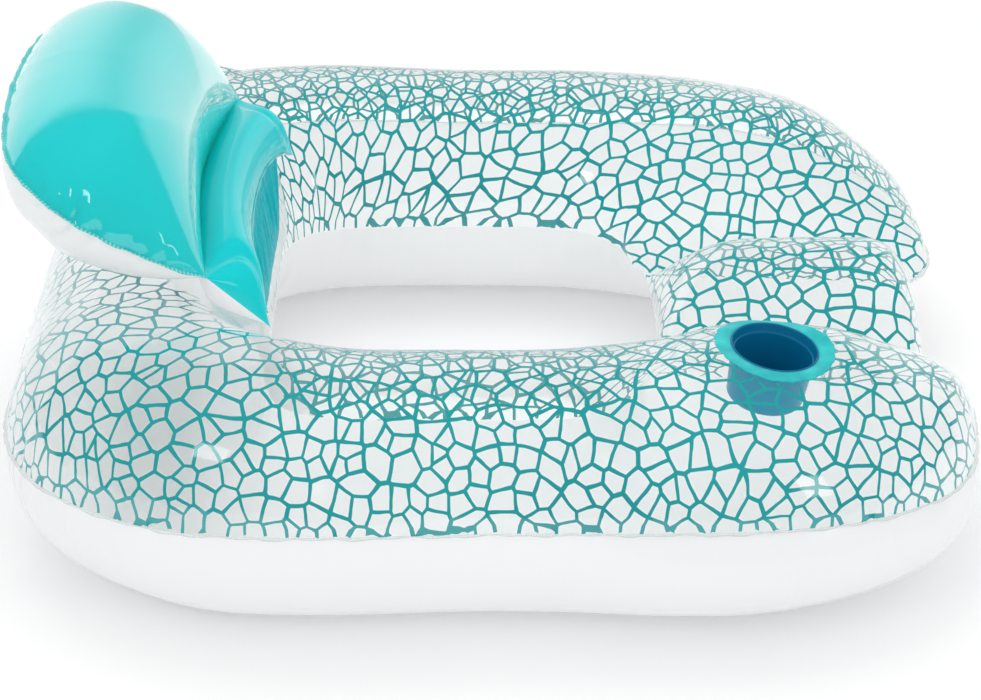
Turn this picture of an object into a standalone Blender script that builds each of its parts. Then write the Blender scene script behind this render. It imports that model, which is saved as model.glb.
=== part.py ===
# Inflatable pool lounger: a clear and white air ring with two arms, a leg rest, a cup holder
# and a turquoise backrest that folds forward over the seat.
# Metres, +Z up, +X towards the leg rest. The ring lies on z = 0, mirrored about y = 0.

import math

import bmesh
import bpy
import numpy as np
from mathutils import Vector

# Driving dimensions
TUBE_RADIUS = 0.150
FILM = 0.0006
GAP = 0.0003
SEAM_MARGIN = 0.004
ORIGIN_SHIFT = 0.0007

# Outer seam of the ring from the middle of the rear to the notch beside the leg rest,
# and the inner edge that each of its points faces: the seat hole, then the crease of the arm
OUTER_EDGE = (
    (-0.580, 0.000, 0.158),
    (-0.580, 0.172, 0.158),
    (-0.573, 0.338, 0.158),
    (-0.513, 0.459, 0.159),
    (-0.383, 0.550, 0.162),
    (-0.225, 0.579, 0.166),
    (0.000, 0.570, 0.166),
    (0.165, 0.570, 0.166),
    (0.262, 0.567, 0.165),
    (0.338, 0.556, 0.163),
    (0.420, 0.528, 0.156),
    (0.483, 0.484, 0.147),
    (0.534, 0.432, 0.138),
    (0.570, 0.363, 0.132),
    (0.585, 0.280, 0.129),
    (0.586, 0.188, 0.126),
    (0.543, 0.129, 0.120),
)
INNER_EDGE = (
    (-0.280, 0.000, 0.143),
    (-0.279, 0.120, 0.143),
    (-0.274, 0.195, 0.143),
    (-0.254, 0.236, 0.143),
    (-0.218, 0.258, 0.143),
    (-0.158, 0.268, 0.143),
    (0.000, 0.270, 0.143),
    (0.112, 0.260, 0.143),
    (0.172, 0.213, 0.141),
    (0.204, 0.146, 0.135),
    (0.292, 0.140, 0.132),
    (0.360, 0.142, 0.129),
    (0.417, 0.144, 0.126),
    (0.462, 0.144, 0.124),
    (0.498, 0.142, 0.123),
    (0.525, 0.138, 0.122),
    (0.543, 0.129, 0.120),
)
HOLE_CORNER = 9
LEG_REST_HOLE_X = 0.214
LEG_REST_FRONT_X = 0.549
LEG_REST_TOP = 0.248
LEG_REST_BOTTOM = 0.015
LEG_REST_HOLE_ROUNDING = 0.128
LEG_REST_FRONT_ROUNDING = 0.068
ARM_TOP = 0.3045
FRONT_DROP = 0.026
FRONT_FULLNESS = 0.7
REAR_CORNER_RISE = 0.009
ARM_ROUNDING = 0.240
CREASE_ROUNDING = 0.225
FLOOR_PRESS = 0.003
TOP_SIDE_BULGE = -0.0045
BOTTOM_SIDE_BULGE = 0.0075
BOTTOM_ARM_BULGE = 0.030

# Backrest: its seam lies in a plane that rises backwards from the crease between pillow and roll.
# Outline points are distances from the crease line along the plane, and half widths.
CREASE_X = -0.336
CREASE_Z = 0.3355
CREASE_HALF = 0.267
CREASE_BOW = 0.024
CREASE_SAG = 0.025
BACK_TILT = math.radians(27.5)
PILLOW_SIDE = ((0.000, 0.267), (0.060, 0.286), (0.140, 0.288), (0.190, 0.276), (0.225, 0.250))
PILLOW_BACK = ((0.225, 0.250), (0.253, 0.222), (0.272, 0.165), (0.282, 0.080), (0.285, 0.000))
PILLOW_RISE = 0.128
PILLOW_SINK = 0.105
PILLOW_ROUNDING = 0.240
PILLOW_CREASE_ROUNDING = 0.180
ROLL_TIP = (-0.2635, 0.2475, 0.2595)
ROLL_FRONT = (-0.2985, 0.0, 0.303)
ROLL_RISE = 0.040
ROLL_SINK = 0.040
TAB_FRONT = (-0.270, 0.0, 0.311)
TAB_HALF = 0.200
TAB_LEAST = 0.002
RING_CLEARANCE = 0.006

# Strip of clear film that joins the backrest to the ring, up to this section of the ring
STRIP_END = 2.5
STRIP_LIFT = 0.0014

# Cup holder in the near arm
CUP_CENTRE = Vector((0.3285, -0.364, 0.2925))
CUP_NORMAL = Vector((0.141, -0.075, 0.987)).normalized()
CUP_FLANGE_RADIUS = 0.0705
CUP_FLANGE = 0.0008
CUP_LIP_RADIUS = 0.0515
CUP_LIP_RISE = 0.003
CUP_MOUTH_RADIUS = 0.0470
CUP_BASE_RADIUS = 0.0430
CUP_STEP_DEPTH = 0.009
CUP_DEPTH = 0.065
CUP_WALL = 0.0015
CUP_FLOOR_STEP = 0.0004
CUP_LEVEL_RADIUS = 0.054
CUP_LEVEL_END = 0.080

# Valves: one on the ring behind the backrest, one under the back of the pillow
VALVE_COLLAR_RADIUS = 0.017
VALVE_COLLAR_BORE = 0.0090
VALVE_COLLAR = 0.0008
VALVE_STEM_RADIUS = 0.0065
VALVE_BORE = 0.0042
VALVE_STEM_LENGTH = 0.020
VALVE_HEAD_RADIUS = 0.0080
VALVE_HEAD = 0.0015
VALVE_CAP_RADIUS = 0.0072
VALVE_CAP = 0.0016
VALVE_SPIGOT_RADIUS = 0.0036
VALVE_SPIGOT_TIP = 0.0030
VALVE_SPIGOT = 0.004
VALVE_STRAP_REACH = 0.0105
VALVE_STRAP_WIDTH = 0.004
VALVE_FLAP_RADIUS = 0.0058
VALVE_LEVEL_RADIUS = 0.045
VALVE_LEVEL_END = 0.080
RING_VALVE_PLACE = Vector((-0.403, 0.4035, 0.308))
PILLOW_VALVE_PLACE = (0.149, 0.123)
PILLOW_VALVE_DEPTH = 0.085

# Faces of each sheet
STATION_STEPS = 2
TOP_ACROSS = 14
BOTTOM_ACROSS = 9
LEG_REST_ACROSS = 8
PILLOW_ROWS = 10
ROLL_ROWS = 4
STRIP_COLUMNS = slice(8, 14)
BACK_COLUMNS = 20
TURN_STEPS = 40
VALVE_STEPS = 16
MERGE = 0.00001

FINISHES = {
    "clear_print": ((0.62, 0.86, 0.86), 0.12),
    "white_film": ((0.90, 0.91, 0.92), 0.18),
    "strip_film": ((0.80, 0.88, 0.88), 0.20),
    "turquoise_film": ((0.03, 0.60, 0.60), 0.15),
    "cup_blue": ((0.01, 0.16, 0.26), 0.25),
    "cup_flange": ((0.05, 0.55, 0.58), 0.20),
    "valve_clear": ((0.75, 0.80, 0.82), 0.25),
}


def make_materials():
    for name, (colour, roughness) in FINISHES.items():
        material = bpy.data.materials.new(name)
        material.use_nodes = True
        shader = material.node_tree.nodes["Principled BSDF"]
        shader.inputs["Base Color"].default_value = (*colour, 1.0)
        shader.inputs["Roughness"].default_value = roughness
        shader.inputs["Metallic"].default_value = 0.0


def smooth_step(value, start, end):
    share = np.clip((value - start) / (end - start), 0.0, 1.0)
    return share * share * (3.0 - 2.0 * share)


def quarter_round(distance, radius):
    share = np.clip(distance / radius, 0.0, 1.0)
    return np.sqrt(1.0 - (1.0 - share) ** 2)


def lens_round(distance, radius):
    share = np.clip(distance / radius, 0.0, 1.0)
    return 1.0 - (1.0 - share) ** 2


def cosine_shares(count):
    # From 1 to 0, closer together at both ends
    return (1 + np.cos(np.linspace(0, math.pi, count + 1))) / 2


def spline(points, place):
    # Catmull-Rom curve through the points; place counts them from 0
    points = np.asarray(points, float)
    last = len(points) - 1
    first = min(max(math.floor(place), 0), last - 1)
    u = place - first
    p1, p2 = points[first], points[first + 1]
    p0 = points[first - 1] if first > 0 else 2 * p1 - p2
    p3 = points[first + 2] if first + 2 <= last else 2 * p2 - p1
    bend = (2 * p0 - 5 * p1 + 4 * p2 - p3) * u**2 + (3 * p1 - p0 - 3 * p2 + p3) * u**3
    return 0.5 * (2 * p1 + (p2 - p0) * u + bend)


def edge_point(points, place):
    # The rear end of each edge runs straight across the mirror plane
    mirrored = [(points[1][0], -points[1][1], points[1][2]), *points]
    return spline(mirrored, place + 1)


def edge_curve(points, start, end, count):
    return np.array([edge_point(points, place) for place in np.linspace(start, end, count)])


RING_END = len(OUTER_EDGE) - 1
OUTER_LINE = edge_curve(OUTER_EDGE, 0, RING_END, 300)
HOLE_LINE = edge_curve(INNER_EDGE, 0, HOLE_CORNER, 200)
CREASE_LINE = edge_curve(INNER_EDGE, HOLE_CORNER, RING_END, 120)


def distance_to(line, plan):
    # Shortest plan distance to the line or its mirror image
    points = plan.reshape(-1, 1, 2)
    nearest = np.full(len(points), np.inf)
    for side in (1, -1):
        start = line[:-1, :2] * (1, side)
        run = np.diff(line[:, :2], axis=0) * (1, side)
        share = ((points - start) * run).sum(axis=-1) / (run**2).sum(axis=-1)
        offset = points - start - np.clip(share, 0, 1)[..., None] * run
        nearest = np.minimum(nearest, np.sqrt((offset**2).sum(axis=-1)).min(axis=1))
    return nearest.reshape(plan.shape[:-1])


def ring_height(plan, seam, top):
    # Height of the inflated film at each plan point, from its height at the seam
    from_outer = distance_to(OUTER_LINE, plan)
    inner = quarter_round(distance_to(HOLE_LINE, plan), TUBE_RADIUS)
    inner = inner * lens_round(distance_to(CREASE_LINE, plan), CREASE_ROUNDING)
    if not top:
        depth = (seam + FLOOR_PRESS) * quarter_round(from_outer, TUBE_RADIUS) * inner
        return np.maximum(seam - depth, 0.0)
    x = plan[..., 0]
    inside = 1 - smooth_step(np.abs(plan[..., 1]), 0.30, 0.405)
    front = FRONT_FULLNESS * smooth_step(x, 0.45, 0.57) * inside
    widening = (ARM_ROUNDING - TUBE_RADIUS) * smooth_step(x, 0.09, 0.39) * (1 - front)
    crown = 2 * TUBE_RADIUS + (ARM_TOP - 2 * TUBE_RADIUS) * smooth_step(x, 0.12, 0.33)
    crown = crown - FRONT_DROP * smooth_step(x, 0.405, 0.555)
    corner = smooth_step(-x, 0.135, 0.270) * smooth_step(np.abs(plan[..., 1]), 0.18, 0.33)
    crown = crown + REAR_CORNER_RISE * corner
    return seam + (crown - seam) * quarter_round(from_outer, TUBE_RADIUS + widening) * inner


def side_bulge(points, seam, shares, top):
    # The outer side swells past its seam below it, and stays just inside it above
    if top:
        rise = np.clip((points[:, 2] - seam) / (2 * TUBE_RADIUS - seam), 0, 1)
        most = TOP_SIDE_BULGE
    else:
        rise = np.clip((seam - points[:, 2]) / seam, 0, 1)
        along = smooth_step(points[:, 0], 0.045, 0.225)
        most = BOTTOM_SIDE_BULGE + (BOTTOM_ARM_BULGE - BOTTOM_SIDE_BULGE) * along
    return 4 * rise * (1 - rise) * most * smooth_step(shares, 0.3, 0.7)


def ring_station(place, top, shares):
    # One section of the ring's film, from its outer edge to its inner edge
    outer = edge_point(OUTER_EDGE, place)
    inner = edge_point(INNER_EDGE, place)
    points = inner + (outer - inner) * shares[:, None]
    seam = points[:, 2].copy()
    points[1:-1, 2] = ring_height(points[:, :2], seam, top)[1:-1]
    width = math.hypot(*(outer - inner)[:2])
    if width > MERGE:
        reach = side_bulge(points, seam, shares, top) * min(width / (2 * TUBE_RADIUS), 1.0)
        points[:, :2] += reach[:, None] * (outer - inner)[:2] / width
    return points


def ring_top_behind(plan):
    # Height of the ring's upper film behind the seat hole, where its seams rise slightly
    inner, outer = INNER_EDGE[0], OUTER_EDGE[0]
    seam = np.interp(-plan[..., 0], (-inner[0], -outer[0]), (inner[2], outer[2]))
    return ring_height(plan, seam, True)


def leg_rest_row(place, share, top, across):
    # One row of the leg rest from crease to crease
    crease = edge_point(INNER_EDGE, place)
    start = LEG_REST_HOLE_X - (LEG_REST_HOLE_X - INNER_EDGE[HOLE_CORNER][0]) * across**2
    end = LEG_REST_FRONT_X - (LEG_REST_FRONT_X - INNER_EDGE[-1][0]) * across**2
    shape = quarter_round((end - start) * share, LEG_REST_HOLE_ROUNDING)
    shape = shape * quarter_round((end - start) * (1 - share), LEG_REST_FRONT_ROUNDING)
    shape = shape * lens_round(1 - np.abs(across), 1.0)
    crest = LEG_REST_TOP if top else LEG_REST_BOTTOM
    z = crease[2] + (crest - crease[2]) * shape
    return np.stack([start + (end - start) * share, crease[1] * across, z], axis=1)


def add_grid(bm, points):
    # Faces between neighbouring points of a rows by columns array
    verts = [[bm.verts.new(point) for point in row] for row in points]
    for row, next_row in zip(verts, verts[1:]):
        for j in range(len(row) - 1):
            bm.faces.new((row[j], next_row[j], next_row[j + 1], row[j + 1]))


def ring_sheet(top, across_steps):
    # The whole upper or lower film of the ring as one open sheet
    bm = bmesh.new()
    places = np.linspace(0, RING_END, RING_END * STATION_STEPS + 1)
    shares = cosine_shares(across_steps)
    half = np.array([ring_station(place, top, shares) for place in places])
    hole_x = INNER_EDGE[HOLE_CORNER][0]
    crease_length = INNER_EDGE[-1][0] - hole_x
    across = 2 * cosine_shares(LEG_REST_ACROSS) - 1
    rows = []
    for place in places[HOLE_CORNER * STATION_STEPS :]:
        share = (edge_point(INNER_EDGE, place)[0] - hole_x) / crease_length
        rows.append(leg_rest_row(place, share, top, across))
    add_grid(bm, half)
    add_grid(bm, half * (1, -1, 1))
    add_grid(bm, np.array(rows))
    bmesh.ops.remove_doubles(bm, verts=bm.verts, dist=MERGE)
    return bm


def press_flat(bm, centre, normal, radius, end, finer):
    # Finer faces around a fitting, in its plane within radius and fading out towards end
    for reach in finer:
        near = {vert for vert in bm.verts if (vert.co.xy - centre.xy).length < reach}
        edges = [edge for edge in bm.edges if near.issuperset(edge.verts)]
        bmesh.ops.subdivide_edges(bm, edges=edges, cuts=1, use_grid_fill=True)
    for vert in bm.verts:
        offset = vert.co.xy - centre.xy
        if offset.length < end:
            plane = centre.z - normal.xy.dot(offset) / normal.z
            vert.co.z += (plane - vert.co.z) * (1.0 - smooth_step(offset.length, radius, end))


def face_outwards(bm, outward):
    # All faces the same way round, and as a whole towards outward
    bmesh.ops.recalc_face_normals(bm, faces=bm.faces)
    total = sum((face.normal * face.calc_area() for face in bm.faces), Vector())
    if total.dot(outward) < 0:
        bmesh.ops.reverse_faces(bm, faces=bm.faces)


def add_margin(bm, up, margin):
    # The flat strip of film outside the weld, along every open edge
    border = [edge for edge in bm.edges if edge.is_boundary]
    outward = {}
    for edge in border:
        start, end = edge.verts
        side = (end.co - start.co).cross(up).normalized()
        inside = edge.link_faces[0].calc_center_median() - (start.co + end.co) / 2
        if side.dot(inside) > 0:
            side.negate()
        for vert in edge.verts:
            outward[vert] = outward.get(vert, Vector()) + side
    moves = {tuple(vert.co): side.normalized() * margin for vert, side in outward.items()}
    made = bmesh.ops.extrude_edge_only(bm, edges=border)
    for vert in made["geom"]:
        if isinstance(vert, bmesh.types.BMVert):
            vert.co += moves[tuple(vert.co)]


def finish_object(name, mesh, finish):
    mesh.shade_smooth()
    mesh.set_sharp_from_angle(angle=math.radians(40))
    obj = bpy.data.objects.new(name, mesh)
    obj.data.materials.append(bpy.data.materials[finish])
    bpy.data.collections["pool lounger"].objects.link(obj)
    obj.parent = bpy.data.objects["lounger"]
    return obj


def film_object(bm, name, finish, outward, margin):
    # An open sheet becomes a film: margin, half the gap at the weld, and thickness inwards
    if margin > 0:
        add_margin(bm, outward, margin)
    face_outwards(bm, outward)
    bmesh.ops.translate(bm, verts=bm.verts, vec=outward * (FILM + GAP))
    mesh = bpy.data.meshes.new(name)
    bm.to_mesh(mesh)
    bm.free()
    obj = finish_object(name, mesh, finish)
    shell = obj.modifiers.new("film", "SOLIDIFY")
    shell.thickness = FILM
    shell.offset = -1.0
    return obj


def axis_matrix(origin, axis):
    matrix = axis.to_track_quat("Z", "Y").to_matrix().to_4x4()
    matrix.translation = origin
    return matrix


def place(obj, matrix):
    obj.location = matrix.translation
    obj.rotation_euler = matrix.to_euler()


def turned(name, profile, steps, finish, matrix):
    # A piece turned about its own Z axis; the profile runs down its outer side
    count = len(profile)
    edges = [(i, i + 1) for i in range(count - 1)]
    if profile[0][0] > 0:
        edges.append((count - 1, 0))
    mesh = bpy.data.meshes.new(name)
    mesh.from_pydata([(radius, 0.0, z) for radius, z in profile], edges, [])
    obj = finish_object(name, mesh, finish)
    place(obj, matrix)
    screw = obj.modifiers.new("turn", "SCREW")
    screw.steps = steps
    screw.render_steps = steps
    screw.use_merge_vertices = True
    screw.merge_threshold = MERGE
    return obj


def helper_object(name, bm, matrix):
    mesh = bpy.data.meshes.new(name)
    bm.to_mesh(mesh)
    bm.free()
    obj = bpy.data.objects.new(name, mesh)
    bpy.data.collections["cutters"].objects.link(obj)
    obj.parent = bpy.data.objects["lounger"]
    obj.hide_render = True
    obj.display_type = "WIRE"
    place(obj, matrix)
    return obj


def join_or_cut(obj, helper, operation):
    boolean = obj.modifiers.new(helper.name, "BOOLEAN")
    boolean.operation = operation
    boolean.solver = "EXACT"
    boolean.object = helper


def cut_round_hole(film, name, radius, matrix):
    bm = bmesh.new()
    bmesh.ops.create_cone(
        bm, cap_ends=True, segments=TURN_STEPS, radius1=radius, radius2=radius, depth=0.03
    )
    join_or_cut(film, helper_object(name, bm, matrix), "DIFFERENCE")


def add_block(obj, name, low, high, matrix):
    # Joins a box, given by two corners in the piece's own axes
    bm = bmesh.new()
    bmesh.ops.create_cube(bm, size=1.0)
    bmesh.ops.scale(bm, verts=bm.verts, vec=high - low)
    bmesh.ops.translate(bm, verts=bm.verts, vec=(high + low) / 2)
    join_or_cut(obj, helper_object(name, bm, matrix), "UNION")


def hang_on_pivot(objects, name, point):
    # An empty on the joint's axis carries the pieces that turn with it
    pivot = bpy.data.objects.new(name, None)
    bpy.data.collections["pool lounger"].objects.link(pivot)
    pivot.parent = bpy.data.objects["lounger"]
    pivot.location = point
    for obj in objects:
        obj.parent = pivot
        obj.location -= Vector(point)


def ring_films():
    up = Vector((0, 0, 1))
    bottom = ring_sheet(False, BOTTOM_ACROSS)
    film_object(bottom, "ring_bottom_film", "white_film", -up, SEAM_MARGIN)
    top = ring_sheet(True, TOP_ACROSS)
    press_flat(top, CUP_CENTRE, CUP_NORMAL, CUP_LEVEL_RADIUS, CUP_LEVEL_END, (0.130, 0.100))
    press_flat(top, RING_VALVE_PLACE, up, VALVE_LEVEL_RADIUS, VALVE_LEVEL_END, (0.080,))
    under_cup = top.copy()
    film = film_object(top, "ring_top_film", "clear_print", up, SEAM_MARGIN)
    cup_holder(film, under_cup)
    surface = RING_VALVE_PLACE + Vector((0, 0, FILM + GAP))
    valve("ring_valve", axis_matrix(surface, up), film)


def cup_holder(film, under_cup):
    matrix = axis_matrix(CUP_CENTRE + Vector((0, 0, FILM + GAP)), CUP_NORMAL)
    step = CUP_MOUTH_RADIUS - 0.002
    lip = CUP_LIP_RISE - 0.001
    floor = -CUP_DEPTH + CUP_WALL
    seat = floor - CUP_FLOOR_STEP
    wall = (
        (CUP_BASE_RADIUS - CUP_WALL, seat + GAP),
        (step, -CUP_STEP_DEPTH),
        (CUP_MOUTH_RADIUS, -CUP_STEP_DEPTH + CUP_WALL),
        (CUP_MOUTH_RADIUS, lip),
        (CUP_MOUTH_RADIUS + 0.001, CUP_LIP_RISE),
        (CUP_LIP_RADIUS - 0.001, CUP_LIP_RISE),
        (CUP_LIP_RADIUS, lip),
        (CUP_LIP_RADIUS, -0.004),
        (step + CUP_WALL, -CUP_STEP_DEPTH - CUP_WALL),
        (CUP_BASE_RADIUS, seat + GAP),
    )
    turned("cup_wall", wall, TURN_STEPS, "cup_blue", matrix)
    # The wall stands on a step around the floor, so a can's foot meets only the floor
    inside = CUP_BASE_RADIUS - CUP_WALL - 0.0006
    base = (
        (0.0, floor),
        (inside, floor),
        (inside, seat),
        (CUP_BASE_RADIUS, seat),
        (CUP_BASE_RADIUS, -CUP_DEPTH + 0.0005),
        (CUP_BASE_RADIUS - 0.001, -CUP_DEPTH),
        (0.0, -CUP_DEPTH),
    )
    turned("cup_base", base, TURN_STEPS, "cup_blue", matrix)
    cut_round_hole(film, "cup_cutter", CUP_LIP_RADIUS + 0.0043, matrix)
    # The flange is a ring cut from a sheet that follows the film from below
    away = [vert for vert in under_cup.verts if (vert.co.xy - CUP_CENTRE.xy).length > 0.110]
    bmesh.ops.delete(under_cup, geom=away, context="VERTS")
    bmesh.ops.translate(under_cup, verts=under_cup.verts, vec=(0, 0, -FILM - 4 * GAP))
    flange = film_object(under_cup, "cup_flange", "cup_flange", Vector((0, 0, 1)), 0.0)
    flange.modifiers["film"].thickness = CUP_FLANGE
    ring = (
        (CUP_LIP_RADIUS + GAP, 0.03),
        (CUP_FLANGE_RADIUS, 0.03),
        (CUP_FLANGE_RADIUS, -0.03),
        (CUP_LIP_RADIUS + GAP, -0.03),
    )
    cutter = turned("flange_cutter", ring, TURN_STEPS, "cup_flange", matrix)
    bpy.data.collections["pool lounger"].objects.unlink(cutter)
    bpy.data.collections["cutters"].objects.link(cutter)
    cutter.hide_render = True
    cutter.display_type = "WIRE"
    join_or_cut(flange, cutter, "INTERSECT")


def crease_point(across):
    # The weld between pillow and roll, in the backrest's seam plane
    rest = 1 - across * across
    return np.array((CREASE_BOW * rest, CREASE_HALF * across, -CREASE_SAG * rest))


def side_edge(share, side):
    s, w = spline(PILLOW_SIDE, share * (len(PILLOW_SIDE) - 1))
    return np.array((s, side * w))


def back_edge(across):
    s, w = spline(PILLOW_BACK, (1 - abs(across)) * (len(PILLOW_BACK) - 1))
    return np.array((s, math.copysign(w, across)))


def pillow_plan(across, share):
    # Blends the pillow's four edges into one patch
    right = (across + 1) / 2
    rows = (1 - share) * crease_point(across)[:2] + share * back_edge(across)
    sides = (1 - right) * side_edge(share, -1) + right * side_edge(share, 1)
    front_corners = (1 - right) * side_edge(0, -1) + right * side_edge(0, 1)
    rear_corners = (1 - right) * side_edge(1, -1) + right * side_edge(1, 1)
    return rows + sides - (1 - share) * front_corners - share * rear_corners


def pillow_to_world(s, w, height):
    x = CREASE_X - s * math.cos(BACK_TILT) + height * math.sin(BACK_TILT)
    z = CREASE_Z + s * math.sin(BACK_TILT) + height * math.cos(BACK_TILT)
    return np.array((x, w, z))


PILLOW_OUTLINE = np.array(
    [side_edge(share, 1) for share in np.linspace(0, 1, 60)]
    + [back_edge(across) for across in np.linspace(1, 0, 60)]
)
PILLOW_CREASE = np.array([crease_point(across)[:2] for across in np.linspace(0, 1, 60)])


def pillow_point(across, share, top):
    plan = pillow_plan(across, share)
    shape = quarter_round(distance_to(PILLOW_OUTLINE, plan), PILLOW_ROUNDING)
    shape = shape * quarter_round(distance_to(PILLOW_CREASE, plan), PILLOW_CREASE_ROUNDING)
    height = crease_point(across)[2] * (1 - share) ** 3
    if top:
        return pillow_to_world(*plan, height + PILLOW_RISE * shape)
    height = height - PILLOW_SINK * shape
    away = math.hypot(plan[0] - PILLOW_VALVE_PLACE[0], plan[1] - PILLOW_VALVE_PLACE[1])
    level = 1 - smooth_step(away, VALVE_LEVEL_RADIUS, VALVE_LEVEL_END)
    return pillow_to_world(*plan, height - (PILLOW_VALVE_DEPTH + height) * level)


def roll_front(across):
    far = abs(across)
    x = ROLL_FRONT[0] + (ROLL_TIP[0] - ROLL_FRONT[0]) * far**2.2
    z = ROLL_FRONT[2] + (ROLL_TIP[2] - ROLL_FRONT[2]) * far**4
    return np.array((x, ROLL_TIP[1] * across, z))


def roll_point(across, share, top):
    # The roll is a sausage between the crease and its front weld, closed at both ends
    crease = pillow_to_world(*crease_point(across))
    chord = roll_front(across) - crease
    normal = np.array((-chord[2], 0.0, chord[0])) / math.hypot(chord[0], chord[2])
    shape = quarter_round(1 - abs(across), 0.25) * abs(math.sin(math.pi * share)) ** 0.7
    rise = ROLL_RISE if top else -ROLL_SINK
    return crease + chord * share + normal * rise * shape


def tab_point(across):
    # The flat tab in front of the roll, widest in the middle
    front = roll_front(across)
    wide = max(0.0, 1 - (front[1] / TAB_HALF) ** 2)
    return front + (TAB_LEAST, 0.0, 0.0) + np.subtract(TAB_FRONT, ROLL_FRONT) * wide


def backrest_sheet(top):
    # Pillow, roll and tab are one film, welded to the other along the crease and the roll's front
    bm = bmesh.new()
    columns = 2 * cosine_shares(BACK_COLUMNS) - 1
    roll_shares = np.linspace(1, 0, ROLL_ROWS + 1)[:-1]
    rows = [[tab_point(across) for across in columns]]
    rows += [[roll_point(across, share, top) for across in columns] for share in roll_shares]
    pillow_shares = cosine_shares(PILLOW_ROWS)[::-1]
    rows += [[pillow_point(across, share, top) for across in columns] for share in pillow_shares]
    points = np.array(rows)
    if not top:
        # The ring holds the backrest up, so the lower film follows the ring where they meet
        rest = ring_top_behind(points[..., :2]) + RING_CLEARANCE
        points[..., 2] = np.maximum(points[..., 2], rest)
    add_grid(bm, points)
    bmesh.ops.remove_doubles(bm, verts=bm.verts, dist=MERGE)
    return bm


def hinge_strip():
    # Lies on the ring under the roll, along the ring's own sections
    shares = cosine_shares(TOP_ACROSS)
    places = np.linspace(0, STRIP_END, round(STRIP_END * STATION_STEPS) + 1)
    half = np.array([ring_station(place, True, shares)[STRIP_COLUMNS] for place in places])
    bm = bmesh.new()
    add_grid(bm, half)
    add_grid(bm, half * (1, -1, 1))
    bmesh.ops.remove_doubles(bm, verts=bm.verts, dist=MERGE)
    strip = film_object(bm, "hinge_strip", "strip_film", Vector((0, 0, 1)), 0.0)
    lift = strip.modifiers.new("lift", "DISPLACE")
    lift.strength = STRIP_LIFT
    lift.mid_level = 0.0
    strip.modifiers.move(1, 0)


def valve(prefix, matrix, film):
    # A push-in air valve: collar under the film, sliding stem, check flap, plug cap on a strap
    under = -FILM - GAP
    collar = (
        (VALVE_COLLAR_BORE, under),
        (VALVE_COLLAR_RADIUS, under),
        (VALVE_COLLAR_RADIUS, under - VALVE_COLLAR),
        (VALVE_COLLAR_BORE, under - VALVE_COLLAR),
    )
    stem = (
        (VALVE_BORE, VALVE_HEAD),
        (VALVE_HEAD_RADIUS, VALVE_HEAD),
        (VALVE_HEAD_RADIUS, 0.0),
        (VALVE_STEM_RADIUS, 0.0),
        (VALVE_STEM_RADIUS, -VALVE_STEM_LENGTH),
        (VALVE_BORE, -VALVE_STEM_LENGTH),
    )
    flap_top = -VALVE_STEM_LENGTH - GAP
    flap = (
        (0.0, flap_top),
        (VALVE_FLAP_RADIUS, flap_top),
        (VALVE_FLAP_RADIUS, flap_top - VALVE_COLLAR),
        (0.0, flap_top - VALVE_COLLAR),
    )
    cap_base = VALVE_HEAD + GAP
    cap = (
        (0.0, cap_base + VALVE_CAP),
        (VALVE_CAP_RADIUS, cap_base + VALVE_CAP),
        (VALVE_CAP_RADIUS, cap_base),
        (VALVE_SPIGOT_RADIUS, cap_base),
        (VALVE_SPIGOT_TIP, cap_base - VALVE_SPIGOT),
        (0.0, cap_base - VALVE_SPIGOT),
    )
    turned(prefix + "_collar", collar, VALVE_STEPS, "valve_clear", matrix)
    stem_object = turned(prefix + "_stem", stem, VALVE_STEPS, "valve_clear", matrix)
    half = VALVE_STRAP_WIDTH / 2
    low = Vector((-VALVE_STRAP_REACH, -half, 0.0003))
    high = Vector((-VALVE_BORE - 0.001, half, VALVE_HEAD - 0.0003))
    add_block(stem_object, prefix + "_lug", low, high, matrix)
    cap_object = turned(prefix + "_cap", cap, VALVE_STEPS, "valve_clear", matrix)
    low = Vector((-VALVE_STRAP_REACH, -half, cap_base + 0.0003))
    high = Vector((-VALVE_SPIGOT_TIP, half, cap_base + VALVE_CAP - 0.0003))
    add_block(cap_object, prefix + "_strap", low, high, matrix)
    hinge = matrix @ Vector((-VALVE_STRAP_REACH, 0, cap_base))
    hang_on_pivot([cap_object], prefix + "_cap_pivot", hinge)
    flap_object = turned(prefix + "_flap", flap, VALVE_STEPS, "valve_clear", matrix)
    hinge = matrix @ Vector((-VALVE_FLAP_RADIUS, 0, flap_top))
    hang_on_pivot([flap_object], prefix + "_flap_pivot", hinge)
    cut_round_hole(film, prefix + "_cutter", VALVE_STRAP_REACH + 0.002, matrix)


def backrest_films():
    normal = Vector((math.sin(BACK_TILT), 0, math.cos(BACK_TILT)))
    sheet = backrest_sheet(True)
    top = film_object(sheet, "backrest_top_film", "turquoise_film", normal, SEAM_MARGIN)
    sheet = backrest_sheet(False)
    bottom = film_object(sheet, "backrest_bottom_film", "white_film", -normal, SEAM_MARGIN)
    hang_on_pivot([top, bottom], "backrest_pivot", (ROLL_TIP[0], 0.0, ROLL_TIP[2]))
    surface = Vector(pillow_to_world(*PILLOW_VALVE_PLACE, -PILLOW_VALVE_DEPTH - FILM - GAP))
    valve("backrest_valve", axis_matrix(surface, -normal), bottom)


def build():
    for obj in list(bpy.data.objects):
        bpy.data.objects.remove(obj)
    for name in ("pool lounger", "cutters"):
        collection = bpy.data.collections.new(name)
        bpy.context.scene.collection.children.link(collection)
    make_materials()
    base = bpy.data.objects.new("lounger", None)
    base.location = (ORIGIN_SHIFT, 0.0, FILM + GAP)
    bpy.data.collections["pool lounger"].objects.link(base)
    ring_films()
    hinge_strip()
    backrest_films()


build()
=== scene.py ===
import math

import bmesh
import bpy
import numpy as np
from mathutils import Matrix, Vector
from mathutils.bvhtree import BVHTree
from mathutils.kdtree import KDTree


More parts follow.
